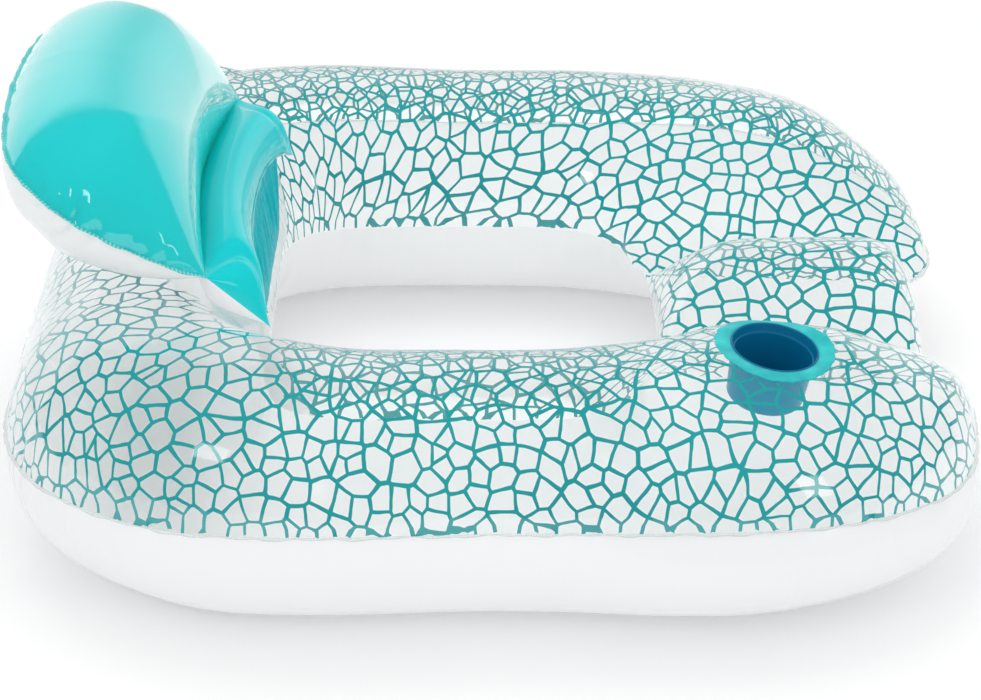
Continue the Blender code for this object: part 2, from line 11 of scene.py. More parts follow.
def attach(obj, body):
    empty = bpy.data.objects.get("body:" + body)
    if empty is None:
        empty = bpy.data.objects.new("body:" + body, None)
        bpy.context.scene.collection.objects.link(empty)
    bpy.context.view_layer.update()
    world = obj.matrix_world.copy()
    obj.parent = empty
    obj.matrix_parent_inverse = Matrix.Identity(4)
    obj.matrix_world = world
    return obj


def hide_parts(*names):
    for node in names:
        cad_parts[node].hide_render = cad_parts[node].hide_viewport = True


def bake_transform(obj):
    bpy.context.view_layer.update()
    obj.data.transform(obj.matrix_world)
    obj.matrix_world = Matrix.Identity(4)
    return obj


# Inflatable pool lounger: its films, welds, print, cup holder and valves, made fine around the frame
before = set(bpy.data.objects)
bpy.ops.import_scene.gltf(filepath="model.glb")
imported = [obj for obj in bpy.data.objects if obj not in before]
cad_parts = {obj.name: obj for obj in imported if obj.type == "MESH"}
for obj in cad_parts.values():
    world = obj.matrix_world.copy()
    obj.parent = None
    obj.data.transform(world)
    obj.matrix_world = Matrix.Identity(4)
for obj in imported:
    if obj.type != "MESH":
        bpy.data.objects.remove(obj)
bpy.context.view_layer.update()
shift = Vector((0.0007, 0.0, 0.0009))  # from the plan below to the frame
samePoint = 0.00002  # vertices closer than this become one
upwards = Vector((0, 0, 1))
white = (1.0, 1.0, 1.0, 1.0)

# Shared curves and small helpers


def smoothStep(value, start, end):
    share = np.clip((value - start) / (end - start), 0.0, 1.0)
    return share * share * (3.0 - 2.0 * share)


def quarterRound(distance, radius):
    share = np.clip(distance / radius, 0.0, 1.0)
    return np.sqrt(1.0 - (1.0 - share) ** 2)


def lensRound(distance, radius):
    share = np.clip(distance / radius, 0.0, 1.0)
    return 1.0 - (1.0 - share) ** 2


def cosineShares(count):
    return (1 - np.cos(np.linspace(0, math.pi, count + 1))) / 2  # closer together at both ends


def smoothCurve(points, place):
    # Catmull-Rom curve through the points, at places counted from 0
    points, place = np.asarray(points, float), np.atleast_1d(place)
    first = np.clip(np.floor(place).astype(int), 0, len(points) - 2)
    ends = np.vstack([2 * points[0] - points[1], points, 2 * points[-1] - points[-2]])
    u = (place - first)[:, None]
    p0, p1, p2, p3 = (ends[first + k] for k in range(4))
    bend = (2 * p0 - 5 * p1 + 4 * p2 - p3) * u**2 + (3 * p1 - p0 - 3 * p2 + p3) * u**3
    return 0.5 * (2 * p1 + (p2 - p0) * u + bend)


def mirroredCurve(points, place):
    # The same through a point that mirrors the second one, so the rear runs straight across
    first = (points[1][0], -points[1][1], points[1][2])
    return smoothCurve([first, *points], np.atleast_1d(place) + 1)


def runAlong(line):
    steps = np.linalg.norm(np.diff(line, axis=0), axis=1)
    return np.concatenate([[0.0], np.cumsum(steps)])


def farFrom(points, line):
    return np.linalg.norm(points - line, axis=2)


def unitRows(ways):
    return ways / np.linalg.norm(ways, axis=1)[:, None]


def nearestOf(points):
    tree = KDTree(len(points))
    for index, point in enumerate(points):
        tree.insert(point, index)
    tree.balance()
    return tree


dice = {"step": 12.9898, "salt": 78.233, "start": 1.7, "size": 43758.5453}
pinches = {
    "drifts": ((0.35, 9.0, 1), (0.21, 23.0, 2)),  # how far they wander, how fast, and with how much salt
    "jitter": 0.6,
    "reach": (0.35, 1.3),  # least share, and what chance adds to it
    "width": (0.6, 0.8),
    "size": (0.25, 0.75),
    "sharp": 1.5,
}


def chance(number, salt=0.0):
    turn = number * dice["step"] + salt * dice["salt"] + dice["start"]
    return np.modf(np.abs(np.sin(turn) * dice["size"]))[0]


def puckers(run, away, make, salt):
    # Pinched valleys that start at a weld and fade out into the film: their depth at each point
    along = run / make["spacing"]
    for far, fast, salty in pinches["drifts"]:
        along = along + far * np.sin(run * fast + salty * salt)
    depth = np.zeros_like(run)
    for offset in (0, 1):
        near = np.floor(along) + offset
        centre = near + pinches["jitter"] * (chance(near, salt) - 0.5)
        least, more = pinches["reach"]
        reach = make["reach"] * (least + more * chance(near, salt + 1) ** 2)
        least, more = pinches["width"]
        width = make["width"] * (least + more * chance(near, salt + 2)) * (1 + away / make["spread"])
        least, more = pinches["size"]
        size = least + more * chance(near, salt + 3)
        shape = np.exp(-(np.abs(along - centre) * make["spacing"] / width) ** pinches["sharp"])
        depth = np.maximum(depth, size * shape * np.exp(-away / reach))
    return make["depth"] * depth


def gridNormals(points):
    rows, columns = np.gradient(points, axis=0), np.gradient(points, axis=1)
    normals = np.cross(rows, columns)
    return normals / np.maximum(np.linalg.norm(normals, axis=2, keepdims=True), 1e-12)


def newFilm(*layers):
    bm = bmesh.new()
    for name in layers:
        bm.verts.layers.float_vector.new(name)
    return bm


def addGrid(bm, points, values=None):
    # A grid of faces whose vertices are moved to a rows by columns array of places
    rows, columns = points.shape[:2]
    made = bmesh.ops.create_grid(bm, x_segments=columns - 1, y_segments=rows - 1, size=1.0)
    layers = {name: bm.verts.layers.float_vector.get(name) for name in values or {}}
    for vert in made["verts"]:
        j = round((vert.co.x + 1) / 2 * (columns - 1))
        i = round((vert.co.y + 1) / 2 * (rows - 1))
        vert.co = points[i, j]
        for name, layer in layers.items():
            vert[layer] = values[name][i, j]
    return made["verts"]


def mergeSame(bm, distance=samePoint):
    bmesh.ops.remove_doubles(bm, verts=bm.verts, dist=distance)


def faceTowards(bm, outward):
    bmesh.ops.recalc_face_normals(bm, faces=bm.faces)
    total = sum((face.normal * face.calc_area() for face in bm.faces), Vector())
    if total.dot(Vector(outward)) < 0:
        bmesh.ops.reverse_faces(bm, faces=bm.faces)


def addObject(name, bm, material):
    mesh = bpy.data.meshes.new(name)
    bm.to_mesh(mesh)
    bm.free()
    if material:
        mesh.materials.append(material)
    thing = bpy.data.objects.new(name, mesh)
    bpy.context.scene.collection.objects.link(thing)
    return thing


def addPiece(name, bm, material, body, replaced=()):
    bmesh.ops.translate(bm, verts=bm.verts, vec=shift)
    piece = addObject(name, bm, material)
    piece.data.shade_smooth()
    if body:
        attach(piece, body)
    if replaced:
        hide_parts(*replaced)
    return piece


holeReach = 0.03  # how far from a hole's plane its film may lie


def cutRound(bm, centre, normal, radius):
    # A round hole whose edge vertices sit exactly on its circle
    inside = set()
    for vert in bm.verts:
        offset = vert.co - centre
        if offset.length > radius * 1.5:
            continue
        height = offset.dot(normal)
        flat = offset - normal * height
        if flat.length < radius and abs(height) < holeReach:
            inside.add(vert)
            if flat.length > 1e-6:
                vert.co = centre + flat.normalized() * radius + normal * height
    faces = [face for face in bm.faces if inside.issuperset(face.verts)]
    bmesh.ops.delete(bm, geom=faces, context="FACES")


def thicken(piece, thickness, offset=0.0):
    wall = piece.modifiers.new("thickness", "SOLIDIFY")
    wall.thickness = thickness
    wall.offset = offset


# Helpers for materials


def newMaterial(name):
    material = bpy.data.materials.new(name)
    material.use_nodes = True
    tree = material.node_tree
    tree.nodes.clear()
    return material, tree, tree.nodes.new("ShaderNodeOutputMaterial")


def addNode(tree, kind, inputs=(), **settings):
    node = tree.nodes.new("ShaderNode" + kind)
    for key, value in settings.items():
        setattr(node, key, value)
    for key, value in dict(inputs).items():
        if isinstance(value, bpy.types.NodeSocket):
            tree.links.new(value, node.inputs[key])
        else:
            node.inputs[key].default_value = value
    return node


def nodeOut(tree, kind, inputs=(), **settings):
    # The first output of a new node
    return addNode(tree, kind, inputs, **settings).outputs[0]


def math2(tree, operation, one, other):
    return nodeOut(tree, "Math", {0: one, 1: other}, operation=operation)


def noise(tree, place, scale, detail=2.0):
    return addNode(tree, "TexNoise", {"Vector": place, "Scale": scale, "Detail": detail}).outputs


def mapRange(tree, value, span, low, high):
    return nodeOut(tree, "MapRange", {"Value": value, 1: span[0], 2: span[1], 3: low, 4: high})


def mixColours(tree, factor, one, other):
    inputs = {"Factor": factor, "A": one, "B": other}
    return addNode(tree, "Mix", inputs, data_type="RGBA").outputs["Result"]


def mixShaders(tree, factor, one, other):
    return nodeOut(tree, "MixShader", {0: factor, 1: one, 2: other})


def addBump(tree, strength, distance, height, normal=None):
    inputs = {"Strength": strength, "Distance": distance, "Height": height}
    if normal:
        inputs["Normal"] = normal
    return nodeOut(tree, "Bump", inputs)


blownFilm = {"waves": (9.0, 2.0, 0.004), "peel": (160.0, 3.0, 0.0002)}  # scale, detail and height


def filmBump(tree, coordinates, fine, broad):
    # Soft waves and a faint orange peel, as blown film has
    scale, detail, high = blownFilm["waves"]
    waves = addBump(tree, broad, high, noise(tree, coordinates, scale, detail)["Fac"])
    scale, detail, high = blownFilm["peel"]
    return addBump(tree, fine, high, noise(tree, coordinates, scale, detail)["Fac"], waves)


middle = (0.3, 0.7)  # most of what a noise texture gives lies between these
printLook = {
    "cell": 0.0262,
    "uneven": 1.0,
    "line": 0.079,
    "corner": (0.48, 0.06),  # where a line starts to widen towards the corners of the cells, and how much
    "wobble": (28.0, 0.006),  # scale and reach of the small wobble of the lines
    "drift": (7.0, 0.024),  # slow shifts make some groups of cells larger than others
    "stroke": (45.0, 0.86, 1.14),  # scale, and the thinnest and thickest line
    "soft": 0.006,
    "stop": (60.0, -0.001, 0.004),  # scale, and how close to a weld the print ends
    "teal": (0.010, 0.385, 0.385, 1.0),
    "tealDeep": (0.003, 0.275, 0.305, 1.0),
    "toneScale": 5.0,
    "inkGloss": (0.10, 0.05),
    "clear": (0.972, 1.0, 0.992, 1.0),
    "haze": (0.90, 0.93, 0.93, 1.0),
    "milk": (0.42, 0.015),  # how much haze grazing angles add, and how much there is everywhere
    "gloss": 0.05,
    "ior": 1.50,
    "bump": (0.15, 0.35),
}


def printMask(tree):
    # 1 where a cell line is printed and 0 on the clear film
    look = printLook
    place = addNode(tree, "Attribute", attribute_name="printPlace").outputs["Vector"]
    edges = addNode(tree, "Attribute", attribute_name="printEdge").outputs["Vector"]
    spot = place
    for scale, reach in (look["wobble"], look["drift"]):
        wander = noise(tree, place, scale, 1.0)["Color"]
        moved = nodeOut(tree, "VectorMath", {0: wander, "Scale": reach}, operation="SCALE")
        spot = nodeOut(tree, "VectorMath", {0: spot, 1: moved}, operation="ADD")
    cells = {"Vector": spot, "Scale": 1 / look["cell"], "Randomness": look["uneven"]}
    distances = []
    for feature in ("DISTANCE_TO_EDGE", "F1"):
        found = addNode(tree, "TexVoronoi", cells, voronoi_dimensions="2D", feature=feature)
        distances.append(found.outputs["Distance"])
    corner = math2(tree, "SUBTRACT", distances[1], look["corner"][0])
    corner = math2(tree, "MAXIMUM", corner, 0.0)
    corner = math2(tree, "MULTIPLY", corner, look["corner"][1])
    scale, thin, thick = look["stroke"]
    weight = mapRange(tree, noise(tree, place, scale, 1.0)["Fac"], middle, thin, thick)
    width = math2(tree, "MULTIPLY", weight, look["line"])
    width = math2(tree, "ADD", width, corner)
    beside = math2(tree, "SUBTRACT", distances[0], width)
    line = mapRange(tree, beside, (-look["soft"], look["soft"]), 1.0, 0.0)
    # The print stops a little before each weld, and around the cup holder and the backrest's foot
    scale, near, far = look["stop"]
    stop = mapRange(tree, noise(tree, place, scale)["Fac"], middle, near, far)
    split = addNode(tree, "SeparateXYZ", {0: edges}).outputs
    inside = math2(tree, "GREATER_THAN", split[0], stop)
    printed = math2(tree, "MULTIPLY", line, inside)
    return math2(tree, "MULTIPLY", printed, split[1])


def printMaterial():
    # Clear glossy film with teal cell lines printed on its inside
    look = printLook
    material, tree, output = newMaterial("clearPrintedFilm")
    coordinates = addNode(tree, "TexCoord").outputs["Object"]
    tone = noise(tree, coordinates, look["toneScale"])["Fac"]
    bump = filmBump(tree, coordinates, *look["bump"])
    ink = {
        "Base Color": mixColours(tree, tone, look["teal"], look["tealDeep"]),
        "Roughness": look["inkGloss"][0],
        "IOR": look["ior"],
        "Coat Weight": 1.0,
        "Coat Roughness": look["inkGloss"][1],
        "Normal": bump,
    }
    inked = nodeOut(tree, "BsdfPrincipled", ink)
    shine = {"Color": white, "Roughness": look["gloss"], "Normal": bump}
    gloss = nodeOut(tree, "BsdfAnisotropic", shine)
    haze = nodeOut(tree, "BsdfDiffuse", {"Color": look["haze"], "Normal": bump})
    clear = nodeOut(tree, "BsdfTransparent", {"Color": look["clear"]})
    rim = nodeOut(tree, "Fresnel", {"IOR": look["ior"], "Normal": bump})
    milk = math2(tree, "MULTIPLY", rim, look["milk"][0])
    milk = math2(tree, "ADD", milk, look["milk"][1])
    film = mixShaders(tree, rim, mixShaders(tree, milk, clear, haze), gloss)
    whole = mixShaders(tree, printMask(tree), film, inked)
    # Light reaches the inside of the ring through the thin film
    path = addNode(tree, "LightPath").outputs
    passing = math2(tree, "MAXIMUM", path["Is Shadow Ray"], path["Is Diffuse Ray"])
    lit = mixShaders(tree, passing, whole, nodeOut(tree, "BsdfTransparent", {"Color": white}))
    tree.links.new(lit, output.inputs["Surface"])
    return material


plainFilm = {  # what a film's own look doesn't say
    "toneScale": 6.0,
    "toneDetail": 3.0,
    "ior": 1.5,
    "fine": 0.2,
    "broad": 0.4,
    "coat": 0.0,
    "coatGloss": 0.04,
    "rim": 0.35,
}


def glossyFilm(name, ownLook):
    # Coloured film: a slightly uneven tone under a clear gloss, some of it lit from behind or see-through
    look = {**plainFilm, **ownLook}
    material, tree, output = newMaterial(name)
    coordinates = addNode(tree, "TexCoord").outputs["Object"]
    tone = noise(tree, coordinates, look["toneScale"], look["toneDetail"])["Fac"]
    colour = mixColours(tree, tone, look["colour"], look["other"])
    finish = {
        "Base Color": colour,
        "Roughness": mapRange(tree, tone, middle, *look["gloss"]),
        "IOR": look["ior"],
        "Normal": filmBump(tree, coordinates, look["fine"], look["broad"]),
        "Coat Weight": look["coat"],
        "Coat Roughness": look["coatGloss"],
    }
    shader = nodeOut(tree, "BsdfPrincipled", finish)
    if "through" in look:
        thin = nodeOut(tree, "BsdfTranslucent", {"Color": look["through"]})
        shader = nodeOut(tree, "AddShader", {0: shader, 1: thin})
    elif "glow" in look:
        thin = nodeOut(tree, "BsdfTranslucent", {"Color": colour})
        shader = mixShaders(tree, look["glow"], shader, thin)
    elif "clear" in look:
        see = nodeOut(tree, "BsdfTransparent", {"Color": look["tint"]})
        rim = addNode(tree, "LayerWeight", {"Blend": look["rim"]}).outputs["Facing"]
        solid = mapRange(tree, rim, (0.0, 1.0), 1 - look["clear"], 1.0)
        shader = mixShaders(tree, solid, see, shader)
    tree.links.new(shader, output.inputs["Surface"])
    return material


weldFinish = {"uneven": 0.3, "gloss": 0.18, "bump": (0.9, 0.0006), "tint": (0.95, 0.97, 0.97, 1)}


def weldMaterial(name, look):
    # A weld pressed between ribbed bars: fine ribs across the strip
    material, tree, output = newMaterial(name)
    run = addNode(tree, "Attribute", attribute_name="weldRun").outputs["Vector"]
    waves = {"Vector": run, "Scale": look["ribs"], "Distortion": weldFinish["uneven"], "Detail": 0.0}
    ribs = addNode(tree, "TexWave", waves, bands_direction="X").outputs["Fac"]
    finish = {
        "Base Color": mixColours(tree, ribs, look["colour"], look["other"]),
        "Roughness": weldFinish["gloss"],
        "Normal": addBump(tree, *weldFinish["bump"], ribs),
    }
    shader = nodeOut(tree, "BsdfPrincipled", finish)
    see = nodeOut(tree, "BsdfTransparent", {"Color": weldFinish["tint"]})
    mix = mixShaders(tree, 1 - look["clear"], see, shader)
    tree.links.new(mix, output.inputs["Surface"])
    return material


filmLooks = {
    "whiteFilm": {
        "colour": (0.935, 0.94, 0.945, 1),
        "other": (0.955, 0.96, 0.963, 1),
        "gloss": (0.14, 0.20),
        "glow": 0.30,
    },
    "whiteBackFilm": {
        "colour": (0.90, 0.905, 0.912, 1),
        "other": (0.925, 0.93, 0.935, 1),
        "gloss": (0.14, 0.20),
        "glow": 0.06,
    },
    "turquoiseFilm": {
        "colour": (0.004, 0.50, 0.54, 1),
        "other": (0.007, 0.56, 0.58, 1),
        "gloss": (0.06, 0.10),
        "coat": 1.0,
        "through": (0.03, 0.20, 0.16, 1),
    },
    "rollFilm": {
        "colour": (0.004, 0.49, 0.54, 1),
        "other": (0.007, 0.55, 0.575, 1),
        "gloss": (0.08, 0.12),
        "ior": 1.40,
        "broad": 0.2,
        "through": (0.02, 0.24, 0.22, 1),
    },
    # A darker, less glossy copy of the roll's turquoise film: painted shade on the roll's front-facing
    # panel
    "rollFrontPaintedShade": {
        "colour": (0.003, 0.36, 0.43, 1),
        "other": (0.005, 0.54, 0.58, 1),
        "gloss": (0.22, 0.34),
        "ior": 1.08,
        "toneScale": 22.0,
        "broad": 0.9,
    },
    "cupBlue": {
        "colour": (0.001, 0.130, 0.275, 1),
        "other": (0.002, 0.165, 0.330, 1),
        "gloss": (0.16, 0.24),
        "ior": 1.33,
    },
    # A paler copy of cupBlue: painted light on the cup's outside
    "cupOutsidePaintedLight": {
        "colour": (0.001, 0.220, 0.370, 1),
        "other": (0.002, 0.290, 0.430, 1),
        "gloss": (0.20, 0.30),
        "ior": 1.25,
    },
    "flangeTeal": {
        "colour": (0.004, 0.34, 0.43, 1),
        "other": (0.10, 0.86, 0.82, 1),
        "gloss": (0.14, 0.22),
        "ior": 1.22,
        "clear": 0.45,
        "tint": (0.08, 0.82, 0.80, 1),
        "toneScale": 36.0,
    },
    "stripFilm": {
        "colour": (0.78, 0.84, 0.84, 1),
        "other": (0.84, 0.88, 0.88, 1),
        "gloss": (0.10, 0.16),
        "clear": 0.55,
        "tint": (0.95, 0.98, 0.98, 1),
    },
    "valveClear": {
        "colour": (0.72, 0.78, 0.80, 1),
        "other": (0.78, 0.83, 0.85, 1),
        "gloss": (0.14, 0.22),
        "clear": 0.35,
        "tint": (0.93, 0.97, 0.98, 1),
        "toneScale": 60.0,
    },
}
weldLooks = {
    "ringWeldFilm": {
        "ribs": 90.0,
        "colour": (0.90, 0.92, 0.92, 1),
        "other": (0.80, 0.86, 0.86, 1),
        "clear": 0.45,
    },
    "backrestWeldFilm": {
        "ribs": 60.0,
        "colour": (0.05, 0.62, 0.63, 1),
        "other": (0.28, 0.86, 0.83, 1),
        "clear": 0.10,
    },
}
clearPrint = printMaterial()
films = {name: glossyFilm(name, look) for name, look in filmLooks.items()}
welds = {name: weldMaterial(name, look) for name, look in weldLooks.items()}
print("materials ready")

# Ring: plan of the outer weld and of the inner edge that each of its points faces

ring = {
    "outerEdge": (
        (-0.580, 0.000, 0.158),
        (-0.580, 0.172, 0.158),
        (-0.573, 0.338, 0.158),
        (-0.513, 0.459, 0.159),
        (-0.383, 0.550, 0.162),
        (-0.225, 0.579, 0.166),
        (0.000, 0.570, 0.166),
        (0.165, 0.570, 0.166),
        (0.262, 0.567, 0.165),
        (0.338, 0.556, 0.163),
        (0.420, 0.528, 0.156),
        (0.483, 0.484, 0.147),
        (0.534, 0.432, 0.138),
        (0.570, 0.363, 0.132),
        (0.585, 0.280, 0.129),
        (0.586, 0.188, 0.126),
        (0.543, 0.129, 0.120),
    ),
    "innerEdge": (
        (-0.280, 0.000, 0.143),
        (-0.279, 0.120, 0.143),
        (-0.274, 0.195, 0.143),
        (-0.254, 0.236, 0.143),
        (-0.218, 0.258, 0.143),
        (-0.158, 0.268, 0.143),
        (0.000, 0.270, 0.143),
        (0.112, 0.260, 0.143),
        (0.172, 0.213, 0.141),
        (0.204, 0.146, 0.135),
        (0.292, 0.140, 0.132),
        (0.360, 0.142, 0.129),
        (0.417, 0.144, 0.126),
        (0.462, 0.144, 0.124),
        (0.498, 0.142, 0.123),
        (0.525, 0.138, 0.122),
        (0.543, 0.129, 0.120),
    ),
    "holeCorner": 9,
    "tube": 0.150,
    "armTop": 0.3045,
    "armRounding": 0.240,
    "creaseRounding": 0.225,
    "rearRise": {1: 0.005, -1: 0.009},
    "frontDrop": {1: 0.031, -1: 0.012},  # the far arm's front is lower and fuller in the photograph
    "frontFullness": {1: 0.15, -1: 0.95},
    "floorPress": 0.003,
    "sideBulge": {"top": -0.0045, "bottom": 0.0075, "bottomArm": 0.030},
    "stations": 640,
    "topAcross": 40,
    "bottomAcross": 28,
    "legRestAcross": 56,
    "lowerLegRestAcross": 28,
    "patternGrid": (150, 18, 22),
    "weldStations": 900,
}
ringSpans = {  # where along the ring, or across it, each change of its section starts and ends
    "fullness": (0.45, 0.57),
    "fullnessAcross": (0.30, 0.405),
    "widening": (0.09, 0.39),
    "armTop": (0.12, 0.33),
    "frontDrop": (0.405, 0.555),
    "rearRise": (0.135, 0.270),
    "rearRiseAcross": (0.18, 0.33),
    "armBulge": (0.045, 0.225),
    "bulgeShare": (0.3, 0.7),
    "floorCalm": (0.001, 0.035),
    "floorShift": (0.0, 0.040),
}
legRest = {
    "holeX": 0.214,
    "frontX": 0.549,
    "top": 0.248,
    "bottom": 0.015,
    "holeRounding": 0.128,
    "frontRounding": 0.068,
}
outerPuckers = {"spacing": 0.034, "reach": 0.040, "width": 0.0042, "spread": 0.022, "depth": 0.0042}
holePuckers = {"spacing": 0.030, "reach": 0.028, "width": 0.0040, "spread": 0.020, "depth": 0.0030}
creasePuckers = {"spacing": 0.020, "reach": 0.026, "width": 0.0036, "spread": 0.016, "depth": 0.0042}
ringSalts = {1: 3.1, -1: 7.9}  # they set the far and the near side's puckers apart
creaseSalts = {1: 12.3, -1: 5.3}
legSalts = {"front": 2.2, "hole": 4.4}
ringSwell = {
    "height": 0.0010,
    "fade": 0.04,
    "waves": ((17, 2.1), (-5, 13), (31, 27)),  # how fast each runs along X and Y
    "third": 0.6,
    "weldFade": 0.005,
    "bend": (1.0, 5.0),  # turns of the weld, in radians per metre, between which its puckers deepen
    "bendDepth": (0.45, 0.75),
}

ringEnd = len(ring["outerEdge"]) - 1


def outerCurve(places):
    return mirroredCurve(ring["outerEdge"], places)


def innerCurve(places):
    return mirroredCurve(ring["innerEdge"], places)


def evenPlaces(count):
    # Places along the ring that are evenly far apart on its outer weld
    dense = np.linspace(0, ringEnd, 1601)
    run = runAlong(outerCurve(dense))
    places = np.interp(np.linspace(0, run[-1], count + 1), run, dense)
    return np.unique(np.append(places, ring["holeCorner"]))


outerLine = outerCurve(np.linspace(0, ringEnd, 180))
holeLine = innerCurve(np.linspace(0, ring["holeCorner"], 120))
creaseLine = innerCurve(np.linspace(ring["holeCorner"], ringEnd, 70))


def distanceTo(line, plan):
    # Shortest plan distance to the line or its mirror image
    points = plan.reshape(-1, 1, 2)
    nearest = np.full(len(points), np.inf)
    few = 4000  # points at a time, to spare memory
    for side in (1, -1):
        start = line[:-1, :2] * (1, side)
        way = np.diff(line[:, :2], axis=0) * (1, side)
        for begin in range(0, len(points), few):
            part = points[begin : begin + few]
            share = ((part - start) * way).sum(axis=-1) / (way**2).sum(axis=-1)
            offset = part - start - np.clip(share, 0, 1)[..., None] * way
            found = np.sqrt((offset**2).sum(axis=-1)).min(axis=1)
            nearest[begin : begin + few] = np.minimum(nearest[begin : begin + few], found)
    return nearest.reshape(plan.shape[:-1])


def ringHeight(plan, seam, top, side):
    fromOuter = distanceTo(outerLine, plan)
    inner = quarterRound(distanceTo(holeLine, plan), ring["tube"])
    inner = inner * lensRound(distanceTo(creaseLine, plan), ring["creaseRounding"])
    if not top:
        depth = (seam + ring["floorPress"]) * quarterRound(fromOuter, ring["tube"]) * inner
        return np.maximum(seam - depth, 0.0)
    x, across = plan[..., 0], np.abs(plan[..., 1])
    inside = 1 - smoothStep(across, *ringSpans["fullnessAcross"])
    front = ring["frontFullness"][side] * smoothStep(x, *ringSpans["fullness"]) * inside
    widening = (ring["armRounding"] - ring["tube"]) * smoothStep(x, *ringSpans["widening"]) * (1 - front)
    crown = 2 * ring["tube"]
    crown = crown + (ring["armTop"] - crown) * smoothStep(x, *ringSpans["armTop"])
    crown = crown - ring["frontDrop"][side] * smoothStep(x, *ringSpans["frontDrop"])
    corner = smoothStep(-x, *ringSpans["rearRise"]) * smoothStep(across, *ringSpans["rearRiseAcross"])
    crown = crown + ring["rearRise"][side] * corner
    return seam + (crown - seam) * quarterRound(fromOuter, ring["tube"] + widening) * inner


def sideBulge(points, seam, shares, top):
    # The outer side swells past its weld below it, and stays just inside it above
    bulge = ring["sideBulge"]
    if top:
        rise = np.clip((points[..., 2] - seam) / (2 * ring["tube"] - seam), 0, 1)
        most = bulge["top"]
    else:
        rise = np.clip((seam - points[..., 2]) / seam, 0, 1)
        along = smoothStep(points[..., 0], *ringSpans["armBulge"])
        most = bulge["bottom"] + (bulge["bottomArm"] - bulge["bottom"]) * along
    return 4 * rise * (1 - rise) * most * smoothStep(shares, *ringSpans["bulgeShare"])


def ringSections(places, top, shares, side):
    # Sections of the film from its inner edge (share 0) to its outer weld (share 1)
    outer, inner = outerCurve(places), innerCurve(places)
    points = inner[:, None] + (outer - inner)[:, None] * shares[None, :, None]
    seam = points[..., 2].copy()
    height = ringHeight(points[..., :2], seam, top, side)
    points[:, 1:-1, 2] = height[:, 1:-1]
    way = (outer - inner)[:, :2]
    width = np.linalg.norm(way, axis=1)
    reach = sideBulge(points, seam, shares, top) * np.minimum(width / (2 * ring["tube"]), 1.0)[:, None]
    way = way / np.maximum(width, 1e-5)[:, None]
    points[..., :2] += reach[..., None] * way[:, None]
    return points


def legRestRows(places, shares, top):
    # The leg rest from the hole to its front weld, one column per share across it
    inner = innerCurve(places)
    holeX, frontX = ring["innerEdge"][ring["holeCorner"]][0], ring["innerEdge"][-1][0]
    share = ((inner[:, 0] - holeX) / (frontX - holeX))[:, None]
    across = (2 * shares - 1)[None, :]
    start = legRest["holeX"] - (legRest["holeX"] - holeX) * across**2
    end = legRest["frontX"] - (legRest["frontX"] - frontX) * across**2
    shape = quarterRound((end - start) * share, legRest["holeRounding"])
    shape = shape * quarterRound((end - start) * (1 - share), legRest["frontRounding"])
    shape = shape * lensRound(1 - np.abs(across), 1.0)
    crest = legRest["top"] if top else legRest["bottom"]
    z = inner[:, 2:] + (crest - inner[:, 2:]) * shape
    return np.stack([start + (end - start) * share, inner[:, 1:2] * across, z], axis=2)


def filmEdges(points):
    # Distance along each section to its two ends, measured on the film
    steps = np.linalg.norm(np.diff(points, axis=1), axis=2)
    run = np.concatenate([np.zeros((len(points), 1)), np.cumsum(steps, axis=1)], axis=1)
    return run, run[:, -1:] - run


cup = {
    "centre": Vector((0.3285, -0.364, 0.2925)),
    "normal": Vector((0.141, -0.075, 0.987)).normalized(),
    "hole": 0.0500,
    "flange": 0.0705,
    "flangeRings": (0.0560, 0.0610, 0.0660),
    "flangeRise": 0.0011,
    "flangeThickness": 0.0008,
    "ragged": ((0.0006, 17, 0.0), (0.0005, 41, 1.0)),  # how far the flange's edge wavers, and how often
    "lip": 0.0520,
    "lipRise": 0.0021,
    "mouth": 0.0470,
    "base": 0.0430,
    "step": 0.009,
    "depth": 0.065,
    "corner": 0.0016,
    "levelRadius": 0.054,
    "levelEnd": 0.080,
}
ringValve = {
    "centre": Vector((-0.403, 0.4035, 0.308)),
    "normal": upwards,
    "hole": 0.0128,
    "levelRadius": 0.045,
    "levelEnd": 0.080,
}
fittings = (cup, ringValve)
calmMargin = 0.03


def pressLevel(points, fitting):
    # Presses the film level round a fitting
    centre, normal = np.array(fitting["centre"]), np.array(fitting["normal"])
    offset = points[..., :2] - centre[:2]
    away = np.linalg.norm(offset, axis=-1)
    plane = centre[2] - (offset @ normal[:2]) / normal[2]
    level = 1.0 - smoothStep(away, fitting["levelRadius"], fitting["levelEnd"])
    points[..., 2] += (plane - points[..., 2]) * level


def calmNear(plan):
    # 0 around the cup holder and the valve, where the film is held flat, and 1 elsewhere
    calm = np.ones(plan.shape[:-1])
    for fitting in fittings:
        away = np.linalg.norm(plan - np.array(fitting["centre"])[:2], axis=-1)
        calm = calm * smoothStep(away, fitting["levelRadius"], fitting["levelEnd"] + calmMargin)
    return calm


def sharpness(line, run):
    # How sharply the line turns, in radians per metre
    way = np.gradient(line[:, :2], axis=0)
    return np.abs(np.gradient(np.unwrap(np.arctan2(way[:, 0], way[:, 1])), run))


def legPuckers(points, run, toInner, toOuter):
    depth = np.maximum(
        puckers(run, toInner, creasePuckers, creaseSalts[1]),
        puckers(run, toOuter, creasePuckers, creaseSalts[-1]),
    )
    frontRun = np.broadcast_to(points[-1:, :, 1], run.shape)
    toFront, toHole = farFrom(points, points[-1:]), farFrom(points, points[:1])
    depth = np.maximum(depth, puckers(frontRun, toFront, outerPuckers, legSalts["front"]))
    depth = np.maximum(depth, puckers(frontRun, toHole, holePuckers, legSalts["hole"]))
    return depth, np.minimum(np.minimum(toInner, toOuter), np.minimum(toFront, toHole))


